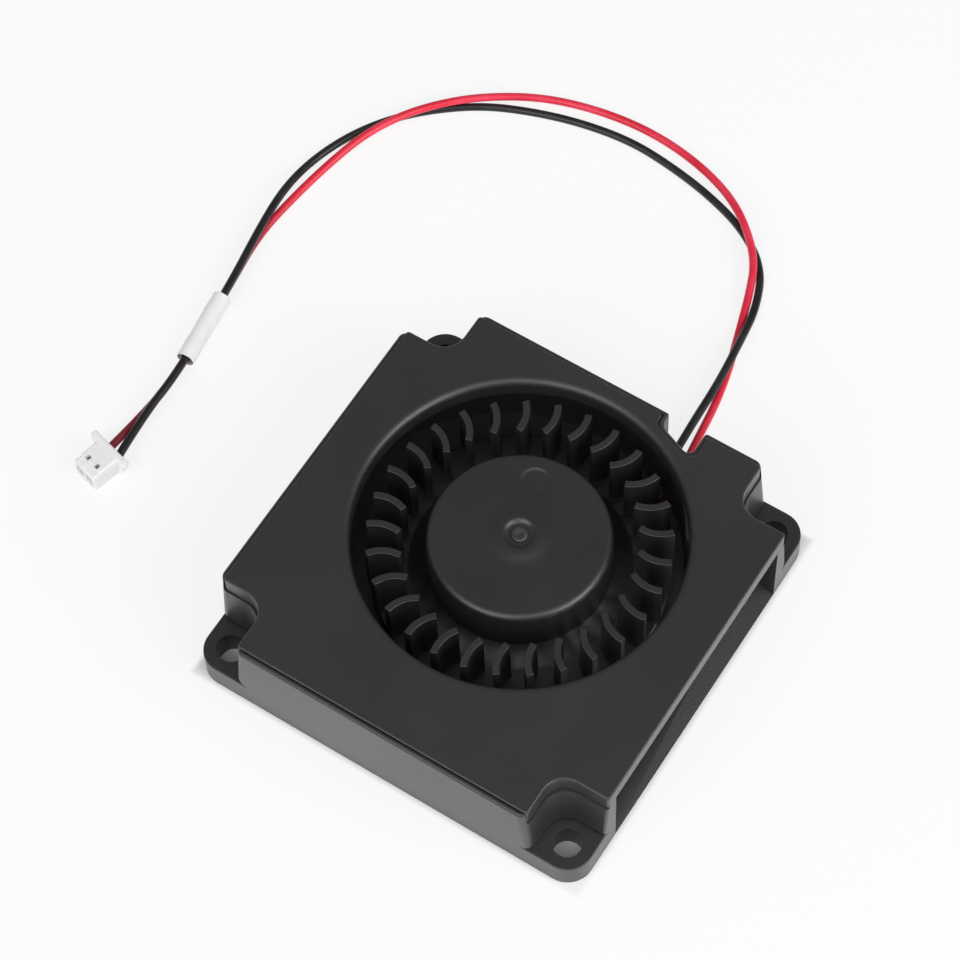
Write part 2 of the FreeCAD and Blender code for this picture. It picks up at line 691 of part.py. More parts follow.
def rotor_yoke():
    """The drawn steel cup inside the hub that closes the magnetic circuit."""
    cup = cylinder(YOKE_R, YOKE_BOTTOM, YOKE_TOP)
    cup = cup.cut(cylinder(YOKE_INNER_R, YOKE_BOTTOM, YOKE_ROOF))
    return on_axis(cup.cut(cylinder(HUB_BOSS_R + FIT, YOKE_BOTTOM, YOKE_TOP)))


def ring_magnet():
    """The bonded ring magnet inside the yoke."""
    return on_axis(tube(MAGNET_INNER_R, MAGNET_R, YOKE_BOTTOM + MAGNET_LIFT, YOKE_ROOF - MAGNET_TOP_GAP))


def pole_sector(inner, outer, span, bottom, top):
    """An arc-shaped block centred on the +X direction."""
    half = math.radians(span / 2)
    points = []
    for radius, turns in ((inner, (half, 0, -half)), (outer, (-half, 0, half))):
        for angle in turns:
            points.append(vector(radius * math.cos(angle), radius * math.sin(angle)))
    edges = [
        Part.Arc(points[0], points[1], points[2]).toShape(),
        Part.LineSegment(points[2], points[3]).toShape(),
        Part.Arc(points[3], points[4], points[5]).toShape(),
        Part.LineSegment(points[5], points[0]).toShape(),
    ]
    return prism(Part.Face(Part.Wire(edges)), bottom, top)


def round_the_poles(shape):
    """Copies of a shape, one for each pole."""
    copies = []
    for index in range(POLE_COUNT):
        copy = shape.copy()
        copy.rotate(vector(0, 0, 0), UP, 360.0 * index / POLE_COUNT + 45.0)
        copies.append(copy)
    return copies


def pole_frame(bottom, top, shoe_inner, shoe_outer):
    """The plan of the stator at one height: a ring, an arm for each pole and a shoe on each arm."""
    ring = cylinder(CORE_BORE_R + CORE_RING_WALL, bottom, top)
    arm = block((0, -POLE_ARM / 2, bottom), (shoe_outer - POLE_SHOE / 2, POLE_ARM / 2, top))
    shoe = pole_sector(shoe_inner, shoe_outer, POLE_SPAN, bottom, top)
    frame = joined([ring] + round_the_poles(arm) + round_the_poles(shoe))
    return frame.cut(cylinder(CORE_BORE_R, bottom, top))


def stator_core():
    """The laminated core with four salient poles."""
    return on_axis(pole_frame(CORE_BOTTOM, CORE_TOP, CORE_R - POLE_SHOE, CORE_R))


def insulator(plate_bottom, plate_top, guard_bottom, guard_top):
    """A moulded end plate of the core's shape with a guard wall outside each coil."""
    shoe_outer = CORE_R - FIT
    plate = pole_frame(plate_bottom, plate_top, CORE_R - POLE_SHOE, shoe_outer)
    guard_inner = CORE_R - POLE_SHOE
    guard = pole_sector(guard_inner, guard_inner + INSULATOR_GUARD, POLE_SPAN, guard_bottom, guard_top)
    return joined([plate] + round_the_poles(guard))


def upper_insulator():
    """The end plate on top of the core."""
    body = insulator(CORE_TOP, CORE_TOP + INSULATOR_PLATE, CORE_TOP, CORE_TOP + COIL_REACH)
    return on_axis(body)


def lower_insulator():
    """The end plate under the core, with the collar that stands on the circuit board."""
    plate_bottom = CORE_BOTTOM - INSULATOR_PLATE
    body = insulator(plate_bottom, CORE_BOTTOM, CORE_BOTTOM - COIL_REACH, CORE_BOTTOM)
    collar = tube(CORE_BORE_R, CORE_BORE_R + INSULATOR_COLLAR, BOARD_TOP, plate_bottom)
    return on_axis(joined([body, collar]))


def coil_windings():
    """The four coils, each wound round its arm and both end plates."""
    clear = INSULATOR_PLATE + COIL_CLEARANCE
    inner_half = POLE_ARM / 2 + COIL_CLEARANCE
    outer_half = inner_half + COIL_THICKNESS
    start = CORE_BORE_R + CORE_RING_WALL + 2 * COIL_CLEARANCE
    end = math.sqrt((CORE_R - POLE_SHOE) ** 2 - outer_half ** 2) - COIL_CLEARANCE
    low = CORE_BOTTOM - COIL_REACH
    high = CORE_TOP + COIL_REACH
    coil = block((start, -outer_half, low), (end, outer_half, high))
    long_edges = [edge for edge in coil.Edges if edge.BoundBox.XLength > 0.5]
    coil = coil.makeFillet(COIL_CORNER_R, long_edges)
    coil = coil.cut(block((0, -inner_half, CORE_BOTTOM - clear), (HALF, inner_half, CORE_TOP + clear)))
    return on_axis(Part.makeCompound(round_the_poles(coil)))


def circuit_board():
    """The round circuit board, lying on the floor boss, with a hole for each winding pin."""
    board = tube(CORE_BORE_R, BOARD_R, BOSS_TOP, BOARD_TOP)
    for angle in PIN_ANGLES:
        spot = polar(PIN_RING_R, angle)
        board = board.cut(cylinder(PIN_R + FIT, BOSS_TOP, BOARD_TOP, spot.x, spot.y))
    return on_axis(board)


def winding_pins():
    """The pins under the lower insulator that carry the coils' ends down to the board."""
    pins = []
    for angle in PIN_ANGLES:
        spot = polar(PIN_RING_R, angle)
        bottom = BOSS_TOP - PIN_PROTRUSION
        pins.append(cylinder(PIN_R, bottom, CORE_BOTTOM - INSULATOR_PLATE, spot.x, spot.y))
    return on_axis(Part.makeCompound(pins))


def board_part(size, radius, angle):
    """A small component on the board's underside, its long side across the radius."""
    body = block((-size[1] / 2, -size[0] / 2, BOSS_TOP - size[2]), (size[1] / 2, size[0] / 2, BOSS_TOP))
    body.rotate(vector(0, 0, 0), UP, angle)
    body.translate(polar(radius, angle))
    return on_axis(body)


def driver_chip():
    """The driver circuit with its built-in Hall sensor, below the magnet's edge."""
    return board_part(CHIP_SIZE, CHIP_RADIUS, CHIP_ANGLE)


def chip_capacitor():
    """The small ceramic capacitor across the supply."""
    return board_part(CAPACITOR_SIZE, CHIP_RADIUS, CAPACITOR_ANGLE)


def chip_resistor():
    """The small resistor beside the driver."""
    return board_part(RESISTOR_SIZE, CHIP_RADIUS, RESISTOR_ANGLE)


def tangent_path(points):
    """Straight runs joined by tangent arcs, each as large as its two runs allow, and the arcs' radii."""
    spots = [vector(*point) for point in points]
    edges = []
    radii = []
    last = spots[0]
    for before, here, after in zip(spots, spots[1:], spots[2:]):
        arriving = here - before
        leaving = after - here
        turn = arriving.getAngle(leaving)
        reach = ARC_SHARE * min(arriving.Length, leaving.Length)
        arriving.normalize()
        leaving.normalize()
        radius = reach / math.tan(turn / 2)
        inward = leaving - arriving
        inward.normalize()
        start = here - arriving * reach
        end = here + leaving * reach
        middle = here + inward * (radius / math.cos(turn / 2) - radius)
        edges.append(Part.LineSegment(last, start).toShape())
        edges.append(Part.Arc(start, middle, end).toShape())
        radii.append(radius)
        last = end
    edges.append(Part.LineSegment(last, spots[-1]).toShape())
    return Part.Wire(edges), radii


def lead_tube(name, points):
    """A lead as a round tube along its route; prints its radii, length and volume for a check."""
    path, radii = tangent_path(points)
    start = vector(*points[0])
    direction = vector(*points[1]) - start
    circle = Part.Wire(Part.makeCircle(LEAD_R, start, direction))
    body = path.makePipeShell([circle], True, False)
    expected = math.pi * LEAD_R ** 2 * path.Length
    rounded = ", ".join(f"{radius:.1f}" for radius in radii)
    print(f"{name}: radii {rounded}")
    print(f"{name}: length {path.Length:.2f}, volume {body.Volume:.3f}, expected {expected:.3f}")
    return body


def pad_point(angle):
    """Where a lead starts, beside its solder joint under the board."""
    return polar(PAD_RING_R, angle) + vector(0, AXIS_Y)


def inside_route(pad_angle, bend, route):
    """From the solder joint along the floor to the outer face of the groove wall."""
    pad = pad_point(pad_angle)
    exit_point = vector(*route[0])
    run = vector(*route[1]) - exit_point
    run.normalize()
    before_exit = exit_point - run * LEAD_RUN_IN
    level = exit_point.z
    towards = vector(bend[0], bend[1]) - pad
    towards.normalize()
    start = pad + towards * SOLDER_FLAT
    return [(start.x, start.y, level), (bend[0], bend[1], level), tuple(before_exit), tuple(exit_point)]


def solder_joints():
    """The two solder cones under the board, each with a flat where its lead arrives."""
    cones = []
    for angle, bend in ((BLACK_PAD_ANGLE, BLACK_INNER_BEND), (RED_PAD_ANGLE, RED_INNER_BEND)):
        pad = pad_point(angle)
        height = BOSS_TOP - FLOOR - SOLDER_LIFT
        foot = vector(pad.x, pad.y, FLOOR + SOLDER_LIFT)
        cone = Part.makeCone(SOLDER_R - SOLDER_TAPER, SOLDER_R, height, foot)
        towards = vector(bend[0], bend[1]) - pad
        cutter = block((SOLDER_FLAT, -BEYOND, 0), (SOLDER_FLAT + BEYOND, BEYOND, HEIGHT))
        cutter.rotate(vector(0, 0, 0), UP, math.degrees(math.atan2(towards.y, towards.x)))
        cutter.translate(pad)
        cones.append(cone.cut(cutter))
    return Part.makeCompound(cones)


def marker_sleeve():
    """The short tube that holds the two leads together near the plug."""
    start = vector(SLEEVE_START[0], SLEEVE_START[1], SLEEVE_R)
    end = vector(SLEEVE_END[0], SLEEVE_END[1], SLEEVE_R)
    direction = end - start
    outer = Part.makeCylinder(SLEEVE_R, direction.Length, start, direction)
    return outer.cut(Part.makeCylinder(SLEEVE_BORE_R, direction.Length, start, direction))


def placed_plug(shape):
    """Moves what was built with its rear face at the origin, mating along +X, to the plug's place."""
    moved = shape.copy()
    moved.rotate(vector(0, 0, 0), UP, PLUG_TURN)
    moved.translate(vector(PLUG_REAR[0], PLUG_REAR[1]))
    return moved


def plug_sides():
    """The two lead positions across the plug."""
    return (-PLUG_PITCH / 2, PLUG_PITCH / 2)


def along_x(radius, start, length, side):
    """A cylinder along a lead's way through the plug."""
    return Part.makeCylinder(radius, length, vector(start, side, PLUG_AXIS_Z), vector(1, 0, 0))


def plug_housing():
    """The white two-way crimp housing: a flange, a narrow body with a step, and two windows."""
    top = PLUG_HEIGHT
    flange_points = [
        vector(0, -FLANGE_FOOT_WIDTH / 2, 0), vector(0, FLANGE_FOOT_WIDTH / 2, 0),
        vector(0, FLANGE_TOP_WIDTH / 2, top), vector(0, -FLANGE_TOP_WIDTH / 2, top),
    ]
    flange_face = Part.Face(Part.makePolygon(flange_points + flange_points[:1]))
    flange = flange_face.extrude(vector(FLANGE_LENGTH, 0, 0))
    half = PLUG_WIDTH / 2
    step_x = PLUG_LENGTH - STEP_LENGTH
    step_z = top - STEP_DROP
    lower = block((0, -half, 0), (PLUG_LENGTH, half, step_z))
    upper = block((0, -half, step_z), (step_x, half, top))
    plug = joined([flange, lower, upper])
    low = PLUG_AXIS_Z - CAVITY_HEIGHT / 2
    cavity_end = PLUG_LENGTH + BEYOND
    window_end = WINDOW_START + WINDOW_LENGTH
    for side in plug_sides():
        left = side - CAVITY_WIDTH / 2
        right = side + CAVITY_WIDTH / 2
        plug = plug.cut(along_x(BARREL_R + TERMINAL_CLEARANCE, 0.0, CAVITY_START, side))
        plug = plug.cut(block((CAVITY_START, left, low), (cavity_end, right, low + CAVITY_HEIGHT)))
        left = side - WINDOW_WIDTH / 2
        right = side + WINDOW_WIDTH / 2
        plug = plug.cut(block((WINDOW_START, left, PLUG_AXIS_Z), (window_end, right, top)))
    return placed_plug(plug)


def crimp_terminals():
    """The two crimp contacts: a barrel round each lead's end and an open box towards the mate."""
    contacts = []
    half_width = CAVITY_WIDTH / 2 - TERMINAL_CLEARANCE
    half_height = CAVITY_HEIGHT / 2 - TERMINAL_CLEARANCE
    low = PLUG_AXIS_Z - half_height
    high = PLUG_AXIS_Z + half_height
    box_start = CAVITY_START + TERMINAL_CLEARANCE
    hollow_start = CAVITY_START + TERMINAL_FLOOR
    for side in plug_sides():
        left = side - half_width
        right = side + half_width
        barrel = along_x(BARREL_R, BARREL_RECESS, CAVITY_START, side)
        box = block((box_start, left, low), (PLUG_LENGTH - TERMINAL_SET_BACK, right, high))
        hollow_low = (hollow_start, left + TERMINAL_WALL, low + TERMINAL_WALL)
        hollow_high = (PLUG_LENGTH, right - TERMINAL_WALL, high - TERMINAL_WALL)
        contacts.append(joined([barrel, box]).cut(block(hollow_low, hollow_high)))
    return placed_plug(Part.makeCompound(contacts))


def red_lead():
    """The free red lead, from the groove wall to the plug."""
    return lead_tube("red_lead", RED_ROUTE)


def black_lead():
    """The free black lead, from the groove wall to the plug."""
    return lead_tube("black_lead", BLACK_ROUTE)


def red_lead_inside():
    """The red lead's stretch under the impeller."""
    return lead_tube("red_lead_inside", inside_route(RED_PAD_ANGLE, RED_INNER_BEND, RED_ROUTE))


def black_lead_inside():
    """The black lead's stretch under the impeller."""
    return lead_tube("black_lead_inside", inside_route(BLACK_PAD_ANGLE, BLACK_INNER_BEND, BLACK_ROUTE))


PARTS = [
    base_housing, top_cover, bearing_tube, thrust_pad, sleeve_bearing, oil_seal_washer, shaft,
    retaining_ring, impeller, rotor_yoke, ring_magnet, stator_core, upper_insulator, lower_insulator,
    coil_windings, winding_pins, circuit_board, driver_chip, chip_capacitor, chip_resistor, solder_joints,
    red_lead_inside, black_lead_inside, red_lead, black_lead, marker_sleeve, plug_housing,
    crimp_terminals,
]

os.makedirs("parts", exist_ok=True)
for make in PARTS:
    solid = make()
    if not solid.isValid():
        print(f"{make.__name__}: not valid")
    print(f"{make.__name__}: {len(solid.Solids)} solid, volume {solid.Volume:.3f}")
    solid.exportStep(f"parts/{make.__name__}.step")
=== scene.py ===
import json
import logging
import math
from collections.abc import Iterable, Sequence
from dataclasses import dataclass
from enum import Enum

import bpy
import numpy as np
from mathutils import Matrix, Vector


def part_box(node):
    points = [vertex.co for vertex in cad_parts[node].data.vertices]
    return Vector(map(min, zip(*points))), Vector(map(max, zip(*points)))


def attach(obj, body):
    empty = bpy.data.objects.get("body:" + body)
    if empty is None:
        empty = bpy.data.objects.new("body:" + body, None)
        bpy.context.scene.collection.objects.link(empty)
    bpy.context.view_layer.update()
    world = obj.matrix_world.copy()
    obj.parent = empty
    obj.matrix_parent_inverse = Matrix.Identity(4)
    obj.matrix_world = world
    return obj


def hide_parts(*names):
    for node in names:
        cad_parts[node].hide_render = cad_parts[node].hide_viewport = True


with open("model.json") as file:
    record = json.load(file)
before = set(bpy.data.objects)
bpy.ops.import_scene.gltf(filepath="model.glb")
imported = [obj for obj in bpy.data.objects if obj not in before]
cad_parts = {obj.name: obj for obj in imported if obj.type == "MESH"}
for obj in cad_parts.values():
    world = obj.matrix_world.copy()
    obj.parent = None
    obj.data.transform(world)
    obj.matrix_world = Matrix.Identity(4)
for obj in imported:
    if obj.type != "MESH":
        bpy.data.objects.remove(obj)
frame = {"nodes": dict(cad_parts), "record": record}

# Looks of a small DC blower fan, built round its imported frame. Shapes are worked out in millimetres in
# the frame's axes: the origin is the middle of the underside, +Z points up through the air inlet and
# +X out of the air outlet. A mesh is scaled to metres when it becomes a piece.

LOG = logging.getLogger("blower_scene")
MM = 0.001
EDGE_SHARE = 0.45
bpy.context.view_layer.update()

Point = tuple[float, float, float]
Flat = tuple[float, float]


class Body(Enum):
    """The two bodies that pieces ride on."""

    HOUSING = "housing"
    ROTOR = "rotor"


class Operation(Enum):
    """What is done with the other solid when two are combined."""

    FUSE = "UNION"
    CUT = "DIFFERENCE"
    KEEP = "INTERSECT"


class Edge(Enum):
    """What an edge of the notched wall outline belongs to."""

    SIDE = "side"
    NOTCH = "notch"
    GROOVE = "groove"
    OUTLET = "outlet"


class Sum(Enum):
    """What a Math node works out."""

    ADD = "ADD"
    TAKE = "SUBTRACT"
    TIMES = "MULTIPLY"
    POWER = "POWER"
    SIZE = "ABSOLUTE"
    PART = "FRACT"
    LARGER = "MAXIMUM"


def frame_top(node: str) -> float:
    """The height of a node's highest point, in millimetres."""
    return round(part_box(node)[1].z / MM, 3)


def frame_reach(node: str) -> float:
    """How far a node reaches along +X, in millimetres."""
    return round(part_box(node)[1].x / MM, 3)


def add_object(name: str, data: bpy.types.ID) -> bpy.types.Object:
    """Puts a new object into the scene.

    Args:
        name: Its name.
        data: Its mesh, curve, lamp or camera.

    Returns:
        The object.
    """
    made = bpy.data.objects.new(name, data)
    bpy.context.scene.collection.objects.link(made)
    return made


def spokes(angle: np.ndarray) -> np.ndarray:
    """Unit vectors at the angles, cosine and sine, as an (n, 2) array."""
    return np.column_stack((np.cos(angle), np.sin(angle)))


def circle_loop(radius: float, count: int, centre: Flat = (0.0, 0.0)) -> np.ndarray:
    """Points counter-clockwise round a circle: radius times cosine and sine of even steps of a turn."""
    return spokes(np.linspace(0, 2 * math.pi, count, endpoint=False)) * radius + np.array(centre)


def quarter_round(radius: float, steps: int = 4) -> np.ndarray:
    """Rows of inset and drop of a rounded edge, from its foot up: radius times 1 less cosine and sine."""
    return radius * (1 - spokes(np.linspace(0, math.pi / 2, steps + 1)))


def rounded_loop(corners: np.ndarray, steps: int = 7) -> np.ndarray:
    """A closed outline with an arc at each corner, whose radius is cut to what its edges leave for it.

    Each arc turns the spoke from its centre to its first point by even steps of the corner's turn. An arc
    takes no more than EDGE_SHARE of either edge.

    Args:
        corners: Rows of x, y and radius, counter-clockwise.
        steps: Pieces of each arc, the same for all, so that two insets match point by point.

    Returns:
        Points as an (n, 2) array.
    """
    here = corners[:, :2]
    arriving, leaving = here - np.roll(here, 1, 0), np.roll(here, -1, 0) - here
    run_in, run_out = np.linalg.norm(arriving, axis=1), np.linalg.norm(leaving, axis=1)
    arriving, leaving = arriving / run_in[:, None], leaving / run_out[:, None]
    turn = np.arccos(np.clip((arriving * leaving).sum(1), -1, 1))
    side = np.sign(arriving[:, 0] * leaving[:, 1] - arriving[:, 1] * leaving[:, 0])
    reach = np.minimum(corners[:, 2] * np.tan(turn / 2), EDGE_SHARE * np.minimum(run_in, run_out))
    starts = here - arriving * reach[:, None]
    inward = np.column_stack((-arriving[:, 1], arriving[:, 0]))
    centres = starts + inward * (side * reach / np.tan(turn / 2))[:, None]
    spoke = (starts - centres)[:, None, :]
    angles = (side * turn)[:, None] * np.linspace(0, 1, steps + 1)
    x = spoke[..., 0] * np.cos(angles) - spoke[..., 1] * np.sin(angles)
    y = spoke[..., 0] * np.sin(angles) + spoke[..., 1] * np.cos(angles)
    return (centres[:, None, :] + np.stack((x, y), -1)).reshape(-1, 2)


def inset_corners(corners: np.ndarray, moves: np.ndarray, least: float) -> np.ndarray:
    """Moves each edge of an outline inwards and finds where neighbouring edges then cross.

    Args:
        corners: Rows of x, y and radius, counter-clockwise.
        moves: Distance inwards of the edge after each corner; negative moves outwards.
        least: Smallest corner radius left.

    Returns:
        The moved corners, as many as before.
    """
    points = corners[:, :2]
    along = np.roll(points, -1, 0) - points
    along /= np.linalg.norm(along, axis=1, keepdims=True)
    starts = points + np.column_stack((-along[:, 1], along[:, 0])) * moves[:, None]
    before, before_along = np.roll(starts, 1, 0), np.roll(along, 1, 0)
    cross = before_along[:, 0] * along[:, 1] - before_along[:, 1] * along[:, 0]
    gap = starts - before
    step = (gap[:, 0] * along[:, 1] - gap[:, 1] * along[:, 0]) / cross
    moved = before + before_along * step[:, None]
    largest = np.maximum(moves, np.roll(moves, 1))
    radii = np.maximum(corners[:, 2] - np.sign(cross) * largest, least)
    return np.column_stack((moved, radii))


class Solid:
    """A closed mesh in millimetres, kept as a Blender object while it is being built.

    Edges that turn by more than SHARP degrees stay sharp.
    """

    SHARP: float = 32.0

    def __init__(self, name: str, grid: np.ndarray, ring: bool = False) -> None:
        """Skins a grid of points: row by row from the bottom up, each row a loop seen from above.

        Args:
            name: Name of the object.
            grid: Points as a (rows, count, 3) array, each row counter-clockwise.
            ring: Joins the last row to the first in place of closing both ends.
        """
        rows, count = grid.shape[:2]
        numbers = np.arange(rows * count).reshape(rows, count)
        lower = numbers if ring else numbers[:-1]
        upper = np.roll(numbers, -1, 0) if ring else numbers[1:]
        quads = np.stack((lower, np.roll(lower, -1, 1), np.roll(upper, -1, 1), upper), -1)
        faces = quads.reshape(-1, 4).tolist()
        if not ring:
            faces += [numbers[0, ::-1].tolist(), numbers[-1].tolist()]
        mesh = bpy.data.meshes.new(name)
        mesh.from_pydata(grid.reshape(-1, 3).tolist(), [], faces)
        self.object = add_object(name, mesh)

    @classmethod
    def tower(cls, name: str, levels: Iterable[tuple[np.ndarray, float]], axis: int = 2) -> "Solid":
        """A solid through flat loops of equal count, each at its own place along one axis.

        Args:
            name: Name of the object.
            levels: Pairs of an (n, 2) loop of floats and its place along the axis, in the axis's direction.
            axis: The axis's number, 0 for X, 1 for Y or 2 for Z.

        Returns:
            The closed solid.
        """
        return cls(name, np.stack([np.insert(loop, axis, place, axis=1) for loop, place in levels]))

    @classmethod
    def prism(cls, name: str, loop: np.ndarray, bottom: float, top: float) -> "Solid":
        """A flat loop carried straight up."""
        return cls.tower(name, ((loop, bottom), (loop, top)))

    @classmethod
    def box(cls, name: str, low: Sequence[float], high: Sequence[float]) -> "Solid":
        """A box from its lowest to its highest corner."""
        loop = np.array(((low[0], low[1]), (high[0], low[1]), (high[0], high[1]), (low[0], high[1])), float)
        return cls.prism(name, loop, low[2], high[2])

    @classmethod
    def turned(cls, name: str, profile: Sequence[Sequence[float]], count: int, centre: Flat) -> "Solid":
        """A profile from the bottom up along the outside, carried once round an upright axis."""
        return cls(name, cls.spun(profile, count, centre))

    @staticmethod
    def spun(profile: Sequence[Sequence[float]], count: int, centre: Flat = (0.0, 0.0)) -> np.ndarray:
        """The grid of a turned shape: x, y = centre + radius times the unit circle, z = height.

        Args:
            profile: Rows of radius and height.
            count: Points round the axis.
            centre: Where the axis stands.

        Returns:
            Points as a (rows, count, 3) array.
        """
        radius, height = np.array(profile, float).T
        around = radius[:, None, None] * circle_loop(1.0, count) + np.array(centre)
        level = np.broadcast_to(height[:, None, None], (len(height), count, 1))
        return np.concatenate((around, level), 2)

    def evaluate(self, kind: str, **settings: object) -> "Solid":
        """Applies one modifier to the mesh.

        Args:
            kind: The modifier's type.
            **settings: Values of its properties.

        Returns:
            This solid.
        """
        modifier = self.object.modifiers.new(kind.title(), kind)
        for name, value in settings.items():
            setattr(modifier, name, value)
        graph = bpy.context.evaluated_depsgraph_get()
        mesh = bpy.data.meshes.new_from_object(self.object.evaluated_get(graph))
        self.object.modifiers.clear()
        old, self.object.data = self.object.data, mesh
        bpy.data.meshes.remove(old)
        return self

    def combine(self, operation: Operation, others: Iterable["Solid"]) -> "Solid":
        """Combines this solid with others, which are used up.

        Args:
            operation: What to do with them.
            others: The solids to fuse with, cut away or keep the common part of.

        Returns:
            This solid.
        """
        for other in others:
            self.evaluate("BOOLEAN", operation=operation.value, solver="EXACT", object=other.object)
            other.discard()
        return self

    def fuse(self, *others: "Solid") -> "Solid":
        """Adds other solids to this one."""
        return self.combine(Operation.FUSE, others)

    def cut(self, *others: "Solid") -> "Solid":
        """Takes other solids away from this one."""
        return self.combine(Operation.CUT, others)

    def keep(self, other: "Solid") -> "Solid":
        """Keeps what this solid shares with another."""
        return self.combine(Operation.KEEP, [other])

    def repeat(self, turns: Sequence[Matrix]) -> "Solid":
        """Puts moved copies of the solid into one mesh.

        Args:
            turns: The place of each copy.

        Returns:
            This solid, now all of the copies.
        """
        mesh = self.object.data
        count = len(mesh.vertices)
        flat = np.empty(count * 3)
        mesh.vertices.foreach_get("co", flat)
        points = np.column_stack((flat.reshape(-1, 3), np.ones(count)))
        places = np.array([list(map(list, turn)) for turn in turns])
        moved = np.einsum("kij,nj->kni", places, points)[..., :3].reshape(-1, 3)
        shape = [list(polygon.vertices) for polygon in mesh.polygons]
        faces = [[copy * count + corner for corner in face] for copy in range(len(turns)) for face in shape]
        mesh.clear_geometry()
        mesh.from_pydata(moved.tolist(), [], faces)
        return self

    def move(self, matrix: Matrix) -> "Solid":
        """Moves the mesh itself, in millimetres."""
        self.object.data.transform(matrix)
        return self

    def discard(self) -> None:
        """Removes the object and its mesh."""
        mesh = self.object.data
        bpy.data.objects.remove(self.object)
        bpy.data.meshes.remove(mesh)

    def finish(self) -> bpy.types.Object:
        """Scales the mesh to metres and gives it even shading.

        Returns:
            The object, ready to be a piece.
        """
        self.move(Matrix.Scale(MM, 4))
        self.object.data.shade_smooth()
        self.object.data.set_sharp_from_angle(angle=math.radians(self.SHARP))
        self.evaluate("WEIGHTED_NORMAL", mode="FACE_AREA", weight=80, keep_sharp=True)
        return self.object


@dataclass(frozen=True)
class Piece:
    """A new piece: its name, the body that it rides on and the node that it stands for."""

    name: str
    node: str
    body: Body

    def shape(self) -> Solid:
        """Builds the mesh in millimetres; each sub-assembly has its own."""
        raise NotImplementedError

    def make(self) -> bpy.types.Object:
        """The object in metres, before it is dressed."""
        return self.shape().finish()

    def dress(self, wardrobe: "Wardrobe") -> bpy.types.Object:
        """Makes the piece and gives it its finish, its body and the node that it stands for.

        Args:
            wardrobe: The finishes.

        Returns:
            The piece.
        """
        piece = self.make()
        piece.name = piece.data.name = self.name
        wardrobe.wear(piece, self.node)
        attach(piece, self.body.value)
        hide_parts(self.node)
        LOG.info("%s stands for %s on %s", self.name, self.node, self.body.value)
        return piece


@dataclass(frozen=True)
class Shell(Piece):
    """Sizes that both moulded shells share, in millimetres, and the outlines worked out from them."""

    half: float = frame_reach("base_housing")
    height: float = frame_top("top_cover")
    rim_top: float = frame_top("base_housing")
    wall: float = 1.2
    seat: float = 9.0
    skirt_bottom: float = 8.0
    rim: float = 0.41
    gap: float = 0.06
    lip: float = 1.2
    notch_depth: float = 5.2
    notch_radius: float = 2.7
    side_radius: float = 0.8
    outlet_radius: float = 0.3
    inlet_radius: float = 15.2
    inlet_ring: float = 0.8
    axis_y: float = 2.8
    groove_left: float = 5.1
    groove_right: float = 8.8
    groove_radii: Point = (0.3, 0.6, 1.0)
    groove_face_radius: float = 16.6
    groove_face_angle: float = 68.4
    beyond: float = 1.0

    @property
    def notch_face(self) -> float:
        """Distance from the centre to a notch wall."""
        return self.half - self.notch_depth

    @property
    def end_wall(self) -> float:
        """Distance from the centre to the inner side of a notch wall."""
        return self.notch_face - self.wall

    @property
    def past(self) -> float:
        """A distance from the centre that lies outside the walls."""
        return self.half + self.beyond

    @property
    def axis(self) -> Flat:
        """Where the motor axis stands."""
        return 0.0, self.axis_y

    @property
    def inner_loop(self) -> np.ndarray:
        """The inner side of the walls, carried out past the outlet."""
        return self.wall_loop(self.wall, self.wall, -1.5 * self.beyond)

    def cylinder(self, radius: float, bottom: float, top: float, count: int = 64) -> Solid:
        """An upright cylinder about the motor axis."""
        return Solid.turned("cylinder", ((radius, bottom), (radius, top)), count, self.axis)

    def groove_face_y(self, x: float) -> float:
        """The y of the lead groove's slanted inner face at x, a line at a fixed distance from the axis."""
        angle = math.radians(self.groove_face_angle)
        return self.axis_y + (self.groove_face_radius - x * math.cos(angle)) / math.sin(angle)

    def wall_loop(self, side: float, notch: float, outlet: float, least: float = 0.12) -> np.ndarray:
        """The notched outline of the walls, each kind of edge moved inwards by its own distance.

        Args:
            side: Distance for the sides and the lead groove.
            notch: Distance for the four notches.
            outlet: Distance for the outlet face.
            least: Smallest corner radius left.

        Returns:
            Points as an (n, 2) array, from the outlet's lower end, counter-clockwise.
        """
        h, n, bend, round_off = self.half, self.notch_face, self.notch_radius, self.side_radius
        left, right = self.groove_left, self.groove_right
        mouth, tip, inner = self.groove_radii
        rows = [
            (h, -n, self.outlet_radius, Edge.OUTLET), (h, n, self.outlet_radius, Edge.NOTCH),
            (n, n, bend, Edge.NOTCH), (n, h, round_off, Edge.SIDE),
            (right, h, mouth, Edge.GROOVE), (right, self.groove_face_y(right), tip, Edge.GROOVE),
            (left, self.groove_face_y(left), inner, Edge.GROOVE), (left, h, mouth, Edge.SIDE),
            (-n, h, round_off, Edge.NOTCH), (-n, n, bend, Edge.NOTCH),
            (-h, n, round_off, Edge.SIDE), (-h, -n, round_off, Edge.NOTCH),
            (-n, -n, bend, Edge.NOTCH), (-n, -h, round_off, Edge.SIDE),
            (n, -h, round_off, Edge.NOTCH), (n, -n, bend, Edge.NOTCH),
        ]
        shift = {Edge.SIDE: side, Edge.GROOVE: side, Edge.NOTCH: notch, Edge.OUTLET: outlet}
        moves = np.array([shift[row[3]] for row in rows])
        return rounded_loop(inset_corners(np.array([row[:3] for row in rows]), moves, least))

    def crossing(self, start: float, bottom: float, top: float) -> tuple[Solid, Solid]:
        """Two bars that cover all but the four corners beyond a distance from the centre."""
        return (
            Solid.box("cross", (-start, -self.past, bottom), (start, self.past, top)),
            Solid.box("cross", (-self.past, -start, bottom), (self.past, start, top)),
        )


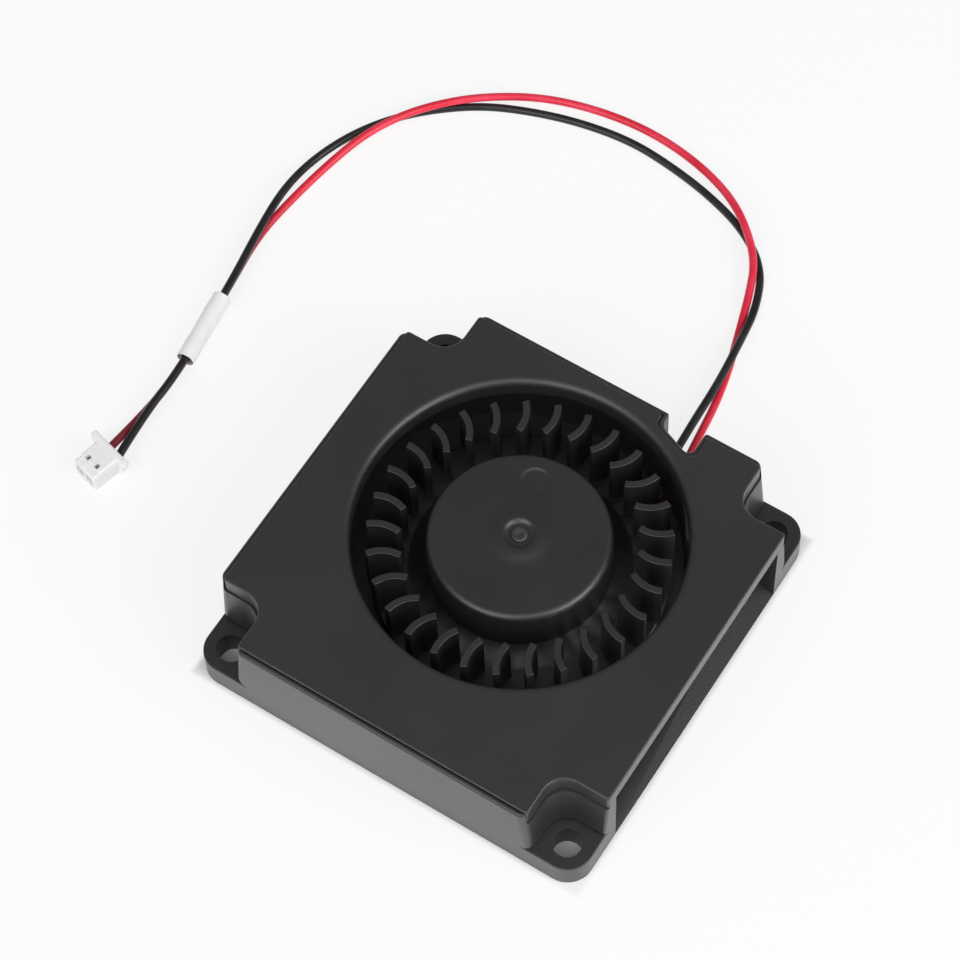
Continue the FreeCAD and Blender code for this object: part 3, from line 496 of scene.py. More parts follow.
@dataclass(frozen=True)
class LowerShell(Shell):
    """The base: floor, scroll wall, outer walls with their rim, ears, bearing boss and lead ribs."""

    name: str = "lower_shell"
    node: str = "base_housing"
    body: Body = Body.HOUSING
    floor: float = 1.1
    ear_height: float = 3.0
    ear_radius: float = 2.4
    ear_inner: float = 0.05
    hole_offset: float = 17.5
    hole_radius: float = 1.35
    hole_edge: float = 0.03
    foot_fillet: float = 0.6
    edge_round: float = 0.12
    rim_round: float = 0.27
    mouth: float = 0.03
    scroll_start: float = 14.6
    scroll_growth: float = 0.09
    scroll_points: int = 91
    tongue_y: float = 10.4
    tongue_bend: float = 0.3
    tongue_seek: float = 0.6
    tongue_tries: int = 6001
    tongue_points: int = 13
    boss_radius: float = 3.0
    boss_top: float = 2.0
    socket_radius: float = 2.22
    socket_floor: float = 0.6
    recess_radius: float = 13.0
    recess_depth: float = 0.15
    slot_low: Point = (4.9, 14.4, 1.1)
    slot_high: Point = (7.85, 21.0, 2.0)
    ribs: tuple[Flat, Flat] = ((2.8, 13.6), (7.5, 12.8))
    rib_size: Point = (0.7, 1.6, 0.8)
    sill_run: float = 3.0
    sill_land: float = 0.15

    def shape(self) -> Solid:
        """Makes the shell from a full block by hollowing it out.

        Returns:
            The solid in millimetres.
        """
        shell = self.walls().fuse(*self.ears()).cut(self.rim_recess(self.seat))
        self.hollow(shell)
        boss = self.cylinder(self.boss_radius, self.floor / 2, self.boss_top)
        shell.fuse(self.tongue_end(), boss, *self.lead_ribs())
        ring_seat = self.inlet_radius + self.inlet_ring + self.gap
        shell.cut(
            self.skirt_seat(), self.cylinder(ring_seat, self.skirt_bottom, self.height + self.beyond, 192),
            *self.holes())
        return shell.cut(
            self.cylinder(self.recess_radius, -self.beyond, self.recess_depth, 128),
            self.cylinder(self.socket_radius, self.socket_floor, self.half),
            Solid.box("slot", self.slot_low, self.slot_high))

    def walls(self) -> Solid:
        """The block inside the outer walls.

        Its outline runs out over the ears in a small fillet, and runs in at the rim in a quarter round.

        Returns:
            The solid in millimetres.
        """
        edge, foot, ear = self.edge_round, self.foot_fillet, self.ear_height
        levels = [
            (self.wall_loop(edge, 0, edge), 0.0), (self.wall_loop(0, 0, 0), edge),
            (self.wall_loop(0, -foot, 0), ear - foot / 2),
        ]
        fillet, rise = quarter_round(foot, steps=6)[::-1], quarter_round(self.rim_round, steps=5)
        levels += [(self.wall_loop(0, shift - foot, 0), ear + drop) for shift, drop in fillet]
        levels += [(self.wall_loop(shift, shift, shift), self.rim_top - drop) for shift, drop in rise]
        return Solid.tower("walls", levels)

    def ears(self) -> list[Solid]:
        """Four low ears with rounded edges that fill the notches.

        Returns:
            One solid for each corner of the square.
        """
        round_steps = quarter_round(self.edge_round) * (1, -1) + (0, self.ear_height)
        steps = [(self.edge_round, 0.0), (0.0, self.edge_round), *round_steps]
        inner, ears = self.ear_inner, []
        for across, along in ((-1, -1), (1, -1), (1, 1), (-1, 1)):
            levels = []
            for shift, z in steps:
                low, high = self.end_wall + shift, self.half - shift
                corners = np.array([
                    (low, low, inner), (high, low, inner), (high, high, self.ear_radius - shift),
                    (low, high, inner)])
                corners *= (across, along, 1)
                corners = corners if across * along > 0 else corners[::-1]
                levels.append((rounded_loop(corners, steps=10), z))
            ears.append(Solid.tower("ear", levels))
        return ears

    def rim_recess(self, bottom: float) -> Solid:
        """The space inside the rim from a height upwards, a little wider at its mouth.

        Args:
            bottom: Where it starts.

        Returns:
            The solid in millimetres.
        """
        narrow = self.wall_loop(self.rim, -self.beyond, -self.beyond)
        wide = self.wall_loop(self.rim - self.mouth, -self.beyond, -self.beyond)
        top = self.rim_top
        return Solid.tower("rim_recess", (
            (narrow, bottom), (narrow, top - self.mouth), (wide, top), (wide, top + self.beyond)))

    def scroll_loop(self, offset: float) -> np.ndarray:
        """The air channel in plan: radius = start times e to the growth times the angle, then straight on.

        Args:
            offset: How far outside the channel the loop lies.

        Returns:
            Points as an (n, 2) array, counter-clockwise.
        """
        lean = math.atan(self.scroll_growth)
        bend = self.tongue_bend + self.wall
        nominal = math.asin((self.tongue_y - self.axis_y) / self.scroll_start)

        def spiral(angle: np.ndarray, out: float) -> np.ndarray:
            """Points of the spiral, moved out along its normal.

            Args:
                angle: The points' angles.
                out: How far to move them.

            Returns:
                Points as an (n, 2) array.
            """
            radius = self.scroll_start * np.exp(self.scroll_growth * (angle - nominal))
            return np.array(self.axis) + spokes(angle) * radius[:, None] + spokes(angle - lean) * out

        tries = np.linspace(nominal, nominal + self.tongue_seek, self.tongue_tries)
        start = float(tries[np.argmin(np.abs(spiral(tries, bend)[:, 1] - self.tongue_y - bend))])
        points = spiral(np.linspace(start, 1.5 * math.pi + lean, self.scroll_points), offset)
        arc = np.linspace(1.5 * math.pi, start - lean + math.pi, self.tongue_points)
        pivot = spiral(np.array([start]), bend)[0]
        tongue = pivot + spokes(arc) * (bend - offset)
        reach = self.past + self.beyond
        return np.vstack((points, (reach, points[-1, 1]), (reach, tongue[0, 1]), tongue[:-1]))

    def hollow(self, shell: Solid) -> None:
        """Cuts the pockets outside the scroll, the air channel and the outlet out of the block.

        Args:
            shell: The block.
        """
        floor, above = self.floor, self.height + self.beyond
        below, past = floor - self.beyond, above + self.beyond
        around = Solid.prism("around", self.scroll_loop(self.wall), below, past)
        shell.cut(Solid.prism("pockets", self.inner_loop, floor, above).cut(around))
        channel = Solid.prism("channel", self.scroll_loop(0), floor, above)
        shell.cut(channel.keep(Solid.prism("inside", self.inner_loop, below, past)))
        end = self.end_wall
        shell.cut(Solid.box("outlet", (self.tongue_x, -end, floor), (self.past, end, above)), self.sill())

    def sill(self) -> Solid:
        """What is cut from the outlet's floor: a three-cornered section above its slope, along Y.

        Returns:
            The solid in millimetres.
        """
        top, reach = self.floor + self.edge_round, self.past
        fall = (top - self.sill_land) / self.sill_run
        section = np.array([
            (self.half - self.sill_run, top), (reach, top), (reach, self.sill_land - fall * self.beyond)])
        return Solid.tower("sill", ((section, -self.end_wall), (section, self.end_wall)), axis=1)

    @property
    def tongue_x(self) -> float:
        """Where the tongue's round end stands along X."""
        return self.half - self.lip - self.gap - self.wall / 2

    def tongue_end(self) -> Solid:
        """The round end of the tongue wall, inside the outlet."""
        loop = circle_loop(self.wall / 2, 48, (self.tongue_x, self.tongue_y + self.wall / 2))
        return Solid.prism("tongue_end", loop, self.floor / 2, self.seat)

    def lead_ribs(self) -> list[Solid]:
        """Two short ribs that keep the leads' inner stretches apart.

        Returns:
            One solid for each rib.
        """
        wide, long, high = self.rib_size
        top = self.floor + high
        return [Solid.box("rib", (x, y, self.floor / 2), (x + wide, y + long, top)) for x, y in self.ribs]

    def skirt_seat(self) -> Solid:
        """The room that the cover's skirts take at the four notches."""
        start, below = self.end_wall - self.gap, self.skirt_bottom - self.beyond
        return self.rim_recess(self.skirt_bottom).cut(
            *self.crossing(start, below, self.height + 2 * self.beyond))

    def holes(self) -> list[Solid]:
        """The four ear holes with softened edges.

        Returns:
            One cutter for each hole.
        """
        radius, edge, ear = self.hole_radius, self.hole_edge, self.ear_height
        profile = [(radius, -self.beyond)]
        profile += [(radius + shift, ear - drop) for shift, drop in quarter_round(edge, steps=3)]
        profile.append((radius + edge, ear + self.beyond))
        sides = (-self.hole_offset, self.hole_offset)
        places = [(x, y) for x in sides for y in sides]
        return [Solid.turned("hole", profile, 64, place) for place in places]


@dataclass(frozen=True)
class UpperShell(Shell):
    """The cover: a plate with the round inlet, its ring, the outlet lip and the notch skirts."""

    name: str = "upper_shell"
    node: str = "top_cover"
    body: Body = Body.HOUSING
    top_round: float = 0.16
    least_radius: float = 0.3
    part_line: float = 0.02
    lip_bevel: float = 0.28
    overlap: float = 0.2
    throat: float = 14.95
    inlet_fillet: float = 0.7
    ring_edge: float = 0.12

    def shape(self) -> Solid:
        """Makes the cover.

        Returns:
            The solid in millimetres.
        """
        ring = self.cylinder(
            self.inlet_radius + self.inlet_ring, self.skirt_bottom, self.seat + self.overlap, 192)
        return self.plate().fuse(self.skirts(), self.lip_bar(), ring).cut(self.inlet())

    def outline(self, shift: float) -> np.ndarray:
        """The cover's outline inside the rim, moved inwards."""
        return self.wall_loop(self.rim + self.gap + shift, shift, shift, self.least_radius)

    def plate(self) -> Solid:
        """The flat plate with its rounded upper edge.

        Returns:
            The solid in millimetres.
        """
        rise = quarter_round(self.top_round, steps=5)
        levels = [(self.outline(0), self.seat)]
        levels += [(self.outline(shift), self.height - drop) for shift, drop in rise]
        return Solid.tower("plate", levels)

    def skirts(self) -> Solid:
        """The four skirts that close the notches below the plate.

        Returns:
            The solid in millimetres.
        """
        bottom, line, below = self.skirt_bottom, self.part_line, self.skirt_bottom - self.beyond
        skirts = Solid.tower("skirts", (
            (self.outline(line), bottom), (self.outline(0), bottom + line),
            (self.outline(0), self.seat + self.overlap)))
        inside = Solid.prism("inside", self.inner_loop, below, self.seat)
        return skirts.cut(inside, *self.crossing(self.end_wall, below, self.seat))

    def lip_bar(self) -> Solid:
        """The bar across the top of the outlet: a five-cornered section carried along Y.

        Returns:
            The solid in millimetres.
        """
        back, bevel, top = self.half - self.lip, self.lip_bevel, self.seat + self.overlap
        section = np.array([
            (back, self.skirt_bottom), (back, top), (self.half, top),
            (self.half, self.skirt_bottom + bevel), (self.half - bevel, self.skirt_bottom)])
        reach = self.end_wall + self.overlap / 2
        return Solid.tower("lip", ((section, -reach), (section, reach)), axis=1)

    def inlet(self) -> Solid:
        """The inlet opening with its rounded mouth and a softened lower edge.

        Returns:
            The cutter.
        """
        radius, edge, low = self.throat, self.ring_edge, self.skirt_bottom
        profile = [(radius + edge, low - self.beyond), (radius + edge, low), (radius, low + edge)]
        rise = quarter_round(self.inlet_fillet, steps=8)
        profile += [(radius + shift, self.height - drop) for shift, drop in rise]
        profile.append((radius + self.inlet_fillet, self.height + self.beyond))
        return Solid.turned("inlet", profile, 256, self.axis)


@dataclass(frozen=True)
class BladeWheel(Piece):
    """The moulded impeller: hub, web, disc and a ring of forward-curved blades, in millimetres."""

    name: str = "blade_wheel"
    node: str = "impeller"
    body: Body = Body.ROTOR
    axis_y: float = Shell.axis_y
    turns: int = 288
    hub_radius: float = 8.28
    hub_foot: float = 8.4
    hub_edge: float = 0.65
    ring_height: float = 0.25
    ring_outer: float = 1.6
    ring_inner: float = 1.05
    ring_foot: float = 1.6
    ring_points: int = 8
    bore: float = 0.76
    boss_radius: float = 1.55
    boss_bottom: float = 7.7
    inner_radius: float = 7.52
    inner_top: float = 8.5
    mark: Flat = (-1.6, 5.2)
    mark_radius: float = 1.35
    mark_depth: float = 0.12
    mark_edge: float = 0.3
    mark_points: int = 44
    web_top: float = 4.5
    web_foot: float = 10.3
    web_hollow: float = 0.35
    web_points: int = 9
    disc_bottom: float = 2.5
    disc_top: float = 3.2
    disc_radius: float = 13.4
    disc_edge: float = 0.1
    blade_count: int = 29
    blade_top: float = 9.2
    blade_tip: float = 13.6
    blade_root: float = 10.62
    blade_thickness: float = 0.65
    blade_bow: float = 0.37
    blade_lean: float = 2.9
    blade_first: float = 119.9
    blade_edge: float = 0.07
    blade_sunk: float = 0.35
    blade_points: int = 17

    @property
    def hub_top(self) -> float:
        """The height of the hub's flat top, below its raised ring."""
        return frame_top(self.node) - self.ring_height

    def shape(self) -> Solid:
        """Makes the impeller.

        Returns:
            The solid in millimetres.
        """
        wheel = Solid("hub", self.marked(Solid.spun(self.profile(), self.turns)), ring=True)
        wheel.fuse(self.blade().repeat([
            Matrix.Rotation(math.radians(self.blade_first + 360 * index / self.blade_count), 4, "Z")
            for index in range(self.blade_count)
        ]))
        return wheel.move(Matrix.Translation((0, self.axis_y, 0)))

    def profile(self) -> np.ndarray:
        """The closed section of the hub, web and disc, from the bore round the outside and back.

        The web is part straight and part hollow: a share of a quarter round is mixed with a line. The
        ring round the shaft rises and falls as the squared sine of a quarter turn.

        Returns:
            Rows of radius and height.
        """
        top, crest, edge = self.hub_top, self.hub_top + self.ring_height, self.disc_edge
        under = [
            (self.bore, self.boss_bottom), (self.boss_radius, self.boss_bottom),
            (self.boss_radius, self.inner_top), (self.inner_radius, self.inner_top),
            (self.inner_radius, self.disc_bottom),
            (self.disc_radius - edge, self.disc_bottom), (self.disc_radius, self.disc_bottom + edge),
            (self.disc_radius, self.disc_top - edge), (self.disc_radius - edge, self.disc_top),
        ]
        turn = np.linspace(0, math.pi / 2, self.web_points)
        hollow = 1 - np.column_stack((np.sin(turn), np.cos(turn)))
        line = np.column_stack((1 - turn / turn[-1], turn / turn[-1]))
        bent = self.web_hollow * hollow + (1 - self.web_hollow) * line
        span = (self.web_foot - self.hub_foot, self.web_top - self.disc_top)
        web = (self.hub_foot, self.disc_top) + bent * span
        shoulder = (self.hub_radius, top) + quarter_round(self.hub_edge, steps=8) * (-1, -1)
        distance, reach = math.hypot(*self.mark), self.mark_radius + self.mark_edge
        rings = np.linspace(distance + reach, distance - reach, self.mark_points)
        flat = np.column_stack((rings, np.full(len(rings), top)))
        outer, slope = self.ring_outer, self.ring_outer - self.ring_inner
        swell = np.linspace(0, 1, self.ring_points)
        wave = self.ring_height * np.sin(swell * math.pi / 2) ** 2
        foot = np.column_stack((outer + self.ring_foot * (1 - swell), top + wave))
        bowl = np.column_stack((outer - slope * swell, crest - wave))[1:]
        return np.vstack((under, web, shoulder, flat, foot, bowl, ((self.bore, top),)))

    def marked(self, grid: np.ndarray) -> np.ndarray:
        """Sinks the round moulding mark into the hub's flat top.

        The drop is the mark's depth, faded out over its edge by a smooth step of the distance.

        Args:
            grid: Points of the turned hub.

        Returns:
            The same points, some a little lower.
        """
        away = np.hypot(grid[..., 0] - self.mark[0], grid[..., 1] - self.mark[1])
        share = np.clip((self.mark_radius + self.mark_edge / 2 - away) / self.mark_edge, 0, 1)
        on_top = np.abs(grid[..., 2] - self.hub_top) < self.mark_depth / 10
        grid[..., 2] -= on_top * self.mark_depth * share**2 * (3 - 2 * share)
        return grid

    def blade_loop(self, shift: float) -> np.ndarray:
        """One blade in plan: two arcs about one centre, half a thickness inside and outside the bow.

        Args:
            shift: Distance inwards all round.

        Returns:
            Points as an (n, 2) array, counter-clockwise.
        """
        half, lean = self.blade_thickness / 2 - shift, math.radians(self.blade_lean)
        tip = np.array((self.blade_tip, 0.0))
        root = np.array((math.cos(lean), math.sin(lean))) * self.blade_root
        chord = tip - root
        length = float(np.linalg.norm(chord))
        bow = (length**2 / 4 + self.blade_bow**2) / (2 * self.blade_bow)
        centre = (tip + root) / 2 + np.array((chord[1], -chord[0])) / length * (self.blade_bow - bow)
        first, last = np.unwrap([math.atan2(*(end - centre)[::-1]) for end in (root, tip)])
        trim = math.copysign(shift / bow, last - first)
        around = spokes(np.linspace(first + trim, last - trim, self.blade_points))
        loop = centre + np.vstack((around * (bow - half), (around * (bow + half))[::-1]))
        after = np.roll(loop, -1, 0)
        return loop if np.sum(loop[:, 0] * after[:, 1] - loop[:, 1] * after[:, 0]) > 0 else loop[::-1]

    def blade(self) -> Solid:
        """One blade with a softened top edge, standing in the disc.

        Returns:
            The solid in millimetres.
        """
        levels = [(self.blade_loop(0), self.disc_bottom + self.blade_sunk)]
        rise = quarter_round(self.blade_edge, steps=3)
        levels += [(self.blade_loop(shift), self.blade_top - drop) for shift, drop in rise]
        return Solid.tower("blade", levels)


@dataclass(frozen=True)
class MotorShaft(Piece):
    """The motor shaft with rounded ends, a dished top and its ring groove, in millimetres."""

    name: str = "motor_shaft"
    node: str = "shaft"
    body: Body = Body.ROTOR
    axis_y: float = Shell.axis_y
    radius: float = 0.75
    bottom: float = 1.03
    edge: float = 0.12
    groove_radius: float = 0.6
    groove: Flat = (1.38, 1.58)
    dish_radius: float = 0.34
    dish_depth: float = 0.08
    dish_steps: tuple[Flat, ...] = ((1.0, 0.0), (0.5, 0.8), (0.125, 1.0))

    def shape(self) -> Solid:
        """Turns the shaft's profile round the motor axis; the dish follows shares of its radius and depth.

        Returns:
            The solid in millimetres.
        """
        low, high = self.groove
        top = frame_top(self.node)
        profile = [
            (self.radius - self.edge, self.bottom), (self.radius, self.bottom + self.edge),
            (self.radius, low), (self.groove_radius, low), (self.groove_radius, high), (self.radius, high),
        ]
        profile += [(self.radius - shift, top - drop) for shift, drop in quarter_round(self.edge)]
        profile += [(self.dish_radius * out, top - self.dish_depth * down) for out, down in self.dish_steps]
        return Solid.turned("shaft", profile, 64, (0, self.axis_y))


@dataclass(frozen=True)
class CrimpPlug(Piece):
    """The white two-way crimp housing in its own axes, X from its rear to its mating end, in millimetres."""

    name: str = "crimp_plug"
    node: str = "plug_housing"
    body: Body = Body.HOUSING
    rear: Flat = (-38.6, -6.2)
    turn: float = -105.0
    pitch: float = 1.25
    length: float = 3.5
    width: float = 2.8
    height: float = 2.5
    axis_z: float = 1.25
    lift: float = 0.015
    flange: float = 0.7
    flange_top: float = 5.0
    flange_foot: float = 3.2
    step_length: float = 0.8
    step_drop: float = 0.22
    window_length: float = 0.5
    window_width: float = 0.5
    window_start: float = 2.1
    cavity_width: float = 0.95
    cavity_height: float = 1.2
    cavity_start: float = 1.1
    bore_radius: float = 0.41
    edge: float = 0.16
    least_radius: float = 0.02
    beyond: float = 1.0

    def shape(self) -> Solid:
        """Makes the housing and turns it into its place on the table.

        Returns:
            The solid in millimetres.
        """
        plug = self.casing().fuse(self.wings())
        for side in (-self.pitch / 2, self.pitch / 2):
            plug.cut(self.lead_hole(side), self.cavity(side), self.window(side))
        place = Matrix.Translation((*self.rear, 0)) @ Matrix.Rotation(math.radians(self.turn), 4, "Z")
        return plug.move(place)

    def bar(self, ends: Flat, corners: Sequence[Flat]) -> Solid:
        """A section carried along X, drawn in by a quarter round at both ends.

        Args:
            ends: Where the bar starts and ends.
            corners: Its section as y, z pairs, counter-clockwise seen from +X.

        Returns:
            The closed solid.
        """
        base = np.column_stack((np.array(corners), np.full(len(corners), self.edge)))
        rise = quarter_round(self.edge)
        steps = [(shift, ends[0] + drop) for shift, drop in rise[::-1]]
        steps += [(shift, ends[1] - drop) for shift, drop in rise]
        moved = (inset_corners(base, np.full(len(base), shift), self.least_radius) for shift, _ in steps)
        levels = [(rounded_loop(section, steps=3), x) for section, (_, x) in zip(moved, steps)]
        return Solid.tower("bar", levels, axis=0)

    def casing(self) -> Solid:
        """The narrow body with the step at its mating end.

        Returns:
            The solid in millimetres.
        """
        half, front, start = self.width / 2, self.length - self.step_length, self.flange / 2
        foot, high, low = self.lift, self.height - self.lift, self.height - self.step_drop
        body = self.bar((start, front), ((-half, foot), (half, foot), (half, high), (-half, high)))
        half -= self.lift
        section = ((-half, foot), (half, foot), (half, low), (-half, low))
        return body.fuse(self.bar((front - start, self.length), section))

    def wings(self) -> Solid:
        """The wide flange at the rear, wider at its top.

        Returns:
            The solid in millimetres.
        """
        foot, top = self.flange_foot / 2, self.flange_top / 2
        section = ((-foot, 0), (foot, 0), (top, self.height), (-top, self.height))
        return self.bar((0, self.flange), section)

    def lead_hole(self, side: float) -> Solid:
        """The round hole a lead goes in by: a circle in the Y-Z plane carried along X."""
        loop = circle_loop(self.bore_radius, 32, (side, self.axis_z))
        return Solid.tower("lead_hole", ((loop, -self.beyond), (loop, self.cavity_start + self.edge)), axis=0)

    def room(self, side: float, width: float, run: Flat, rise: Flat) -> Solid:
        """A square cutter about the middle of one way: its width, its run along X and its rise."""
        return Solid.box("room", (run[0], side - width / 2, rise[0]), (run[1], side + width / 2, rise[1]))

    def cavity(self, side: float) -> Solid:
        """The square room of a contact, open at the mating end."""
        run, low = (self.cavity_start, self.length + self.beyond), self.axis_z - self.cavity_height / 2
        return self.room(side, self.cavity_width, run, (low, low + self.cavity_height))

    def window(self, side: float) -> Solid:
        """The window over a contact's locking lance."""
        run = (self.window_start, self.window_start + self.window_length)
        return self.room(side, self.window_width, run, (self.axis_z, self.height + self.beyond))


@dataclass(frozen=True)
class MarkerTube(Piece):
    """The thin white sleeve round both leads, with the faint waves that the leads press into it."""

    name: str = "marker_tube"
    node: str = "marker_sleeve"
    body: Body = Body.HOUSING
    start: Flat = (-39.68, 12.9)
    end: Flat = (-38.78, 5.5)
    bore: float = 0.82
    radius: float = 0.9
    wave: float = 0.02
    lobes: int = 2
    twist: float = 9.0
    ripple: float = 0.012
    ripples: float = 23.0
    rows: int = 60
    around: int = 48

    def shape(self) -> Solid:
        """A circle carried along a straight line, its radius swelling in slow waves, and back inside.

        One wave has the lobes' number round the tube and turns with the length, fading at both ends.
        The other ripples along the tube.

        Returns:
            The solid in millimetres.
        """
        level = self.radius + self.wave + self.ripple
        start, end = np.array((*self.start, level)), np.array((*self.end, level))
        along = (end - start) / np.linalg.norm(end - start)
        across, up = np.cross((0, 0, 1), along), np.array((0, 0, 1))
        angle = np.linspace(0, 2 * math.pi, self.around, endpoint=False)
        share = np.linspace(0, 1, self.rows)[:, None]
        wave = self.wave * np.sin(self.lobes * angle + self.twist * share) * np.sin(math.pi * share)
        outer = self.radius + wave + self.ripple * np.sin(self.ripples * share + angle)
        radius = np.vstack((outer, np.full((self.rows, self.around), self.bore)))
        share = np.vstack((share, share[::-1]))
        outward = np.cos(angle)[:, None] * across + np.sin(angle)[:, None] * up
        grid = start + (end - start) * share[..., None] + radius[..., None] * outward
        return Solid("marker_tube", grid, ring=True)


@dataclass(frozen=True)
class Lead(Piece):
    """A free lead: its route's chosen points in millimetres, and its real length in metres."""

    route: tuple[Point, ...] = ()
    length: float = 0.0
    radius: float = 0.39

    def make(self) -> bpy.types.Object:
        """A smooth curve with a round section, with the route's points as its control points.

        Returns:
            The curve object, in metres.
        """
        curve = bpy.data.curves.new(self.name, "CURVE")
        curve.dimensions = "3D"
        spline = curve.splines.new("NURBS")
        spline.points.add(len(self.route) - 1)
        points = np.column_stack((np.array(self.route) * MM, np.ones(len(self.route))))
        spline.points.foreach_set("co", points.ravel())
        spline.order_u = 3
        spline.use_endpoint_u = True
        spline.resolution_u = 16
        curve.bevel_depth = self.radius * MM
        curve.bevel_resolution = 6
        curve.use_fill_caps = True
        return add_object(self.name, curve)

    def declare(self, piece: bpy.types.Object, hung: Sequence[bpy.types.Object]) -> None:
        """Does nothing; the piece is not declared as a free cord.

        Args:
            piece: The lead's object; not used.
            hung: What hangs on it; not used.
        """


BLACK_LEAD = Lead(
    name="black_wire", node="black_lead", body=Body.HOUSING, length=0.1138, route=(
        (5.42, 18.51, 1.50), (5.35, 21.20, 1.45), (5.10, 24.80, 1.28), (4.95, 29.30, 1.24),
        (4.40, 34.20, 1.24), (3.75, 38.30, 0.72), (1.90, 42.60, 0.40), (-1.90, 45.40, 0.40),
        (-6.50, 47.00, 0.40), (-11.30, 47.95, 0.40), (-16.10, 48.40, 0.40), (-21.40, 47.70, 0.40),
        (-26.20, 46.30, 0.40), (-30.60, 44.40, 0.40), (-34.60, 41.40, 0.40), (-37.60, 38.20, 0.40),
        (-39.90, 34.40, 0.40), (-41.30, 29.90, 0.55), (-41.40, 25.40, 1.22), (-40.70, 20.20, 1.34),
        (-39.770, 14.817, 1.300), (-38.424, 3.744, 1.300), (-38.54, -1.20, 1.28),
        (-37.998, -6.362, 1.25),
    ))
RED_LEAD = Lead(
    name="red_wire", node="red_lead", body=Body.HOUSING, length=0.1152, route=(
        (7.05, 17.86, 1.50), (6.75, 20.40, 1.42), (6.15, 23.70, 0.60), (5.72, 27.30, 0.40),
        (4.85, 31.40, 0.40), (3.50, 35.70, 0.40), (2.45, 39.20, 0.85), (1.10, 42.60, 1.24),
        (-2.20, 46.00, 1.24), (-6.00, 48.45, 0.62), (-11.00, 49.95, 0.40), (-16.10, 50.35, 0.40),
        (-21.40, 49.70, 0.40), (-26.20, 48.20, 0.45), (-30.20, 45.50, 0.95), (-33.30, 42.70, 1.24),
        (-36.30, 39.10, 1.24), (-38.30, 35.10, 1.15), (-39.60, 31.00, 0.45), (-40.35, 26.40, 0.40),
        (-40.90, 20.80, 0.40), (-40.048, 14.755, 0.500), (-38.702, 3.682, 0.500),
        (-38.90, -1.30, 0.50), (-39.205, -6.038, 1.25),
    ))


@dataclass(frozen=True)
class Socket:
    """A value of a shader, on which sums are written as ordinary expressions."""

    graph: "Graph"
    output: bpy.types.NodeSocket

    def __add__(self, other: "Socket | float") -> "Socket":
        """This value plus another."""
        return self.graph.maths(Sum.ADD, self, other)

    __radd__ = __add__

    def __sub__(self, other: "Socket | float") -> "Socket":
        """This value less another."""
        return self.graph.maths(Sum.TAKE, self, other)

    def __rsub__(self, other: float) -> "Socket":
        """A number less this value."""
        return self.graph.maths(Sum.TAKE, other, self)

    def __mul__(self, other: "Socket | float") -> "Socket":
        """This value times another."""
        return self.graph.maths(Sum.TIMES, self, other)

    def __pow__(self, other: float) -> "Socket":
        """This value to a power."""
        return self.graph.maths(Sum.POWER, self, other)

    def __abs__(self) -> "Socket":
        """The value without its sign."""
        return self.graph.maths(Sum.SIZE, self)

    def ramp(self, low: float, high: float) -> "Socket":
        """A smooth step of the value.

        Args:
            low: Where the step starts.
            high: Where it ends.

        Returns:
            0 below low, 1 above high.
        """
        return self.graph.node(
            "ShaderNodeMapRange", {"interpolation_type": "SMOOTHSTEP"},
            {"Value": self, "From Min": low, "From Max": high})


class Graph:
    """A node tree, filled by calls that read like expressions."""

    def __init__(self, tree: bpy.types.NodeTree) -> None:
        """Empties the tree."""
        self.tree = tree
        tree.nodes.clear()

    def node(
        self, kind: str, settings: dict[str, object] | None = None,
        inputs: dict[str | int, object] | None = None, output: str | int = 0,
    ) -> Socket | None:
        """Adds any node.

        Args:
            kind: The node's type.
            settings: Values of its own properties, set first.
            inputs: Values or links of its sockets, by name or number.
            output: Which output to give back.

        Returns:
            That output, or nothing for a node that has none.
        """
        node = self.tree.nodes.new(kind)
        for name, value in (settings or {}).items():
            setattr(node, name, value)
        for name, value in (inputs or {}).items():
            if isinstance(value, Socket):
                self.tree.links.new(value.output, node.inputs[name])
            else:
                node.inputs[name].default_value = value
        return Socket(self, node.outputs[output]) if len(node.outputs) else None

    def maths(self, operation: Sum, *values: Socket | float) -> Socket:
        """Adds one Math node."""
        return self.node("ShaderNodeMath", {"operation": operation.value}, dict(enumerate(values)))

    def place(self) -> Socket:
        """The shaded point in the object's own axes, in metres."""
        return self.node("ShaderNodeTexCoord", output="Object")

    def axis(self, name: str) -> Socket:
        """One coordinate of the shaded point, in metres."""
        return self.node("ShaderNodeSeparateXYZ", inputs={0: self.place()}, output=name)

    def noise(self, scale: float, detail: float = 2.0, rough: float = 0.5) -> Socket:
        """Noise with its middle near 0.5.

        Args:
            scale: Repeats per metre.
            detail: Octaves.
            rough: Strength of the finer octaves.

        Returns:
            The noise's value.
        """
        return self.node("ShaderNodeTexNoise", {"noise_dimensions": "3D"}, {
            "Vector": self.place(), "Scale": scale, "Detail": detail, "Roughness": rough})

    def mix(self, share: Socket | float, first: object, second: object) -> Socket:
        """A colour between two others."""
        return self.node("ShaderNodeMix", {"data_type": "RGBA"}, {0: share, 6: first, 7: second}, 2)

    def bump(
        self, height: Socket, distance: float, strength: float, normal: Socket | None = None,
    ) -> Socket:
        """A normal tilted by a height field.

        Args:
            height: The height, 0 to 1.
            distance: The height's size in metres.
            strength: Share of the effect.
            normal: A normal to start from.

        Returns:
            The new normal.
        """
        inputs: dict[str | int, object] = {"Height": height, "Distance": distance, "Strength": strength}
        if normal:
            inputs["Normal"] = normal
        return self.node("ShaderNodeBump", inputs=inputs)


Colour = tuple[float, float, float, float]
Shading = dict[str | int, object]


def rgb(red: float, green: float, blue: float) -> Colour:
    """A colour given in display values from 0 to 255, as the scene-linear colour with full alpha."""
    share = np.array((red, green, blue)) / 255
    return *np.where(share <= 0.04045, share / 12.92, ((share + 0.055) / 1.055) ** 2.4).tolist(), 1.0


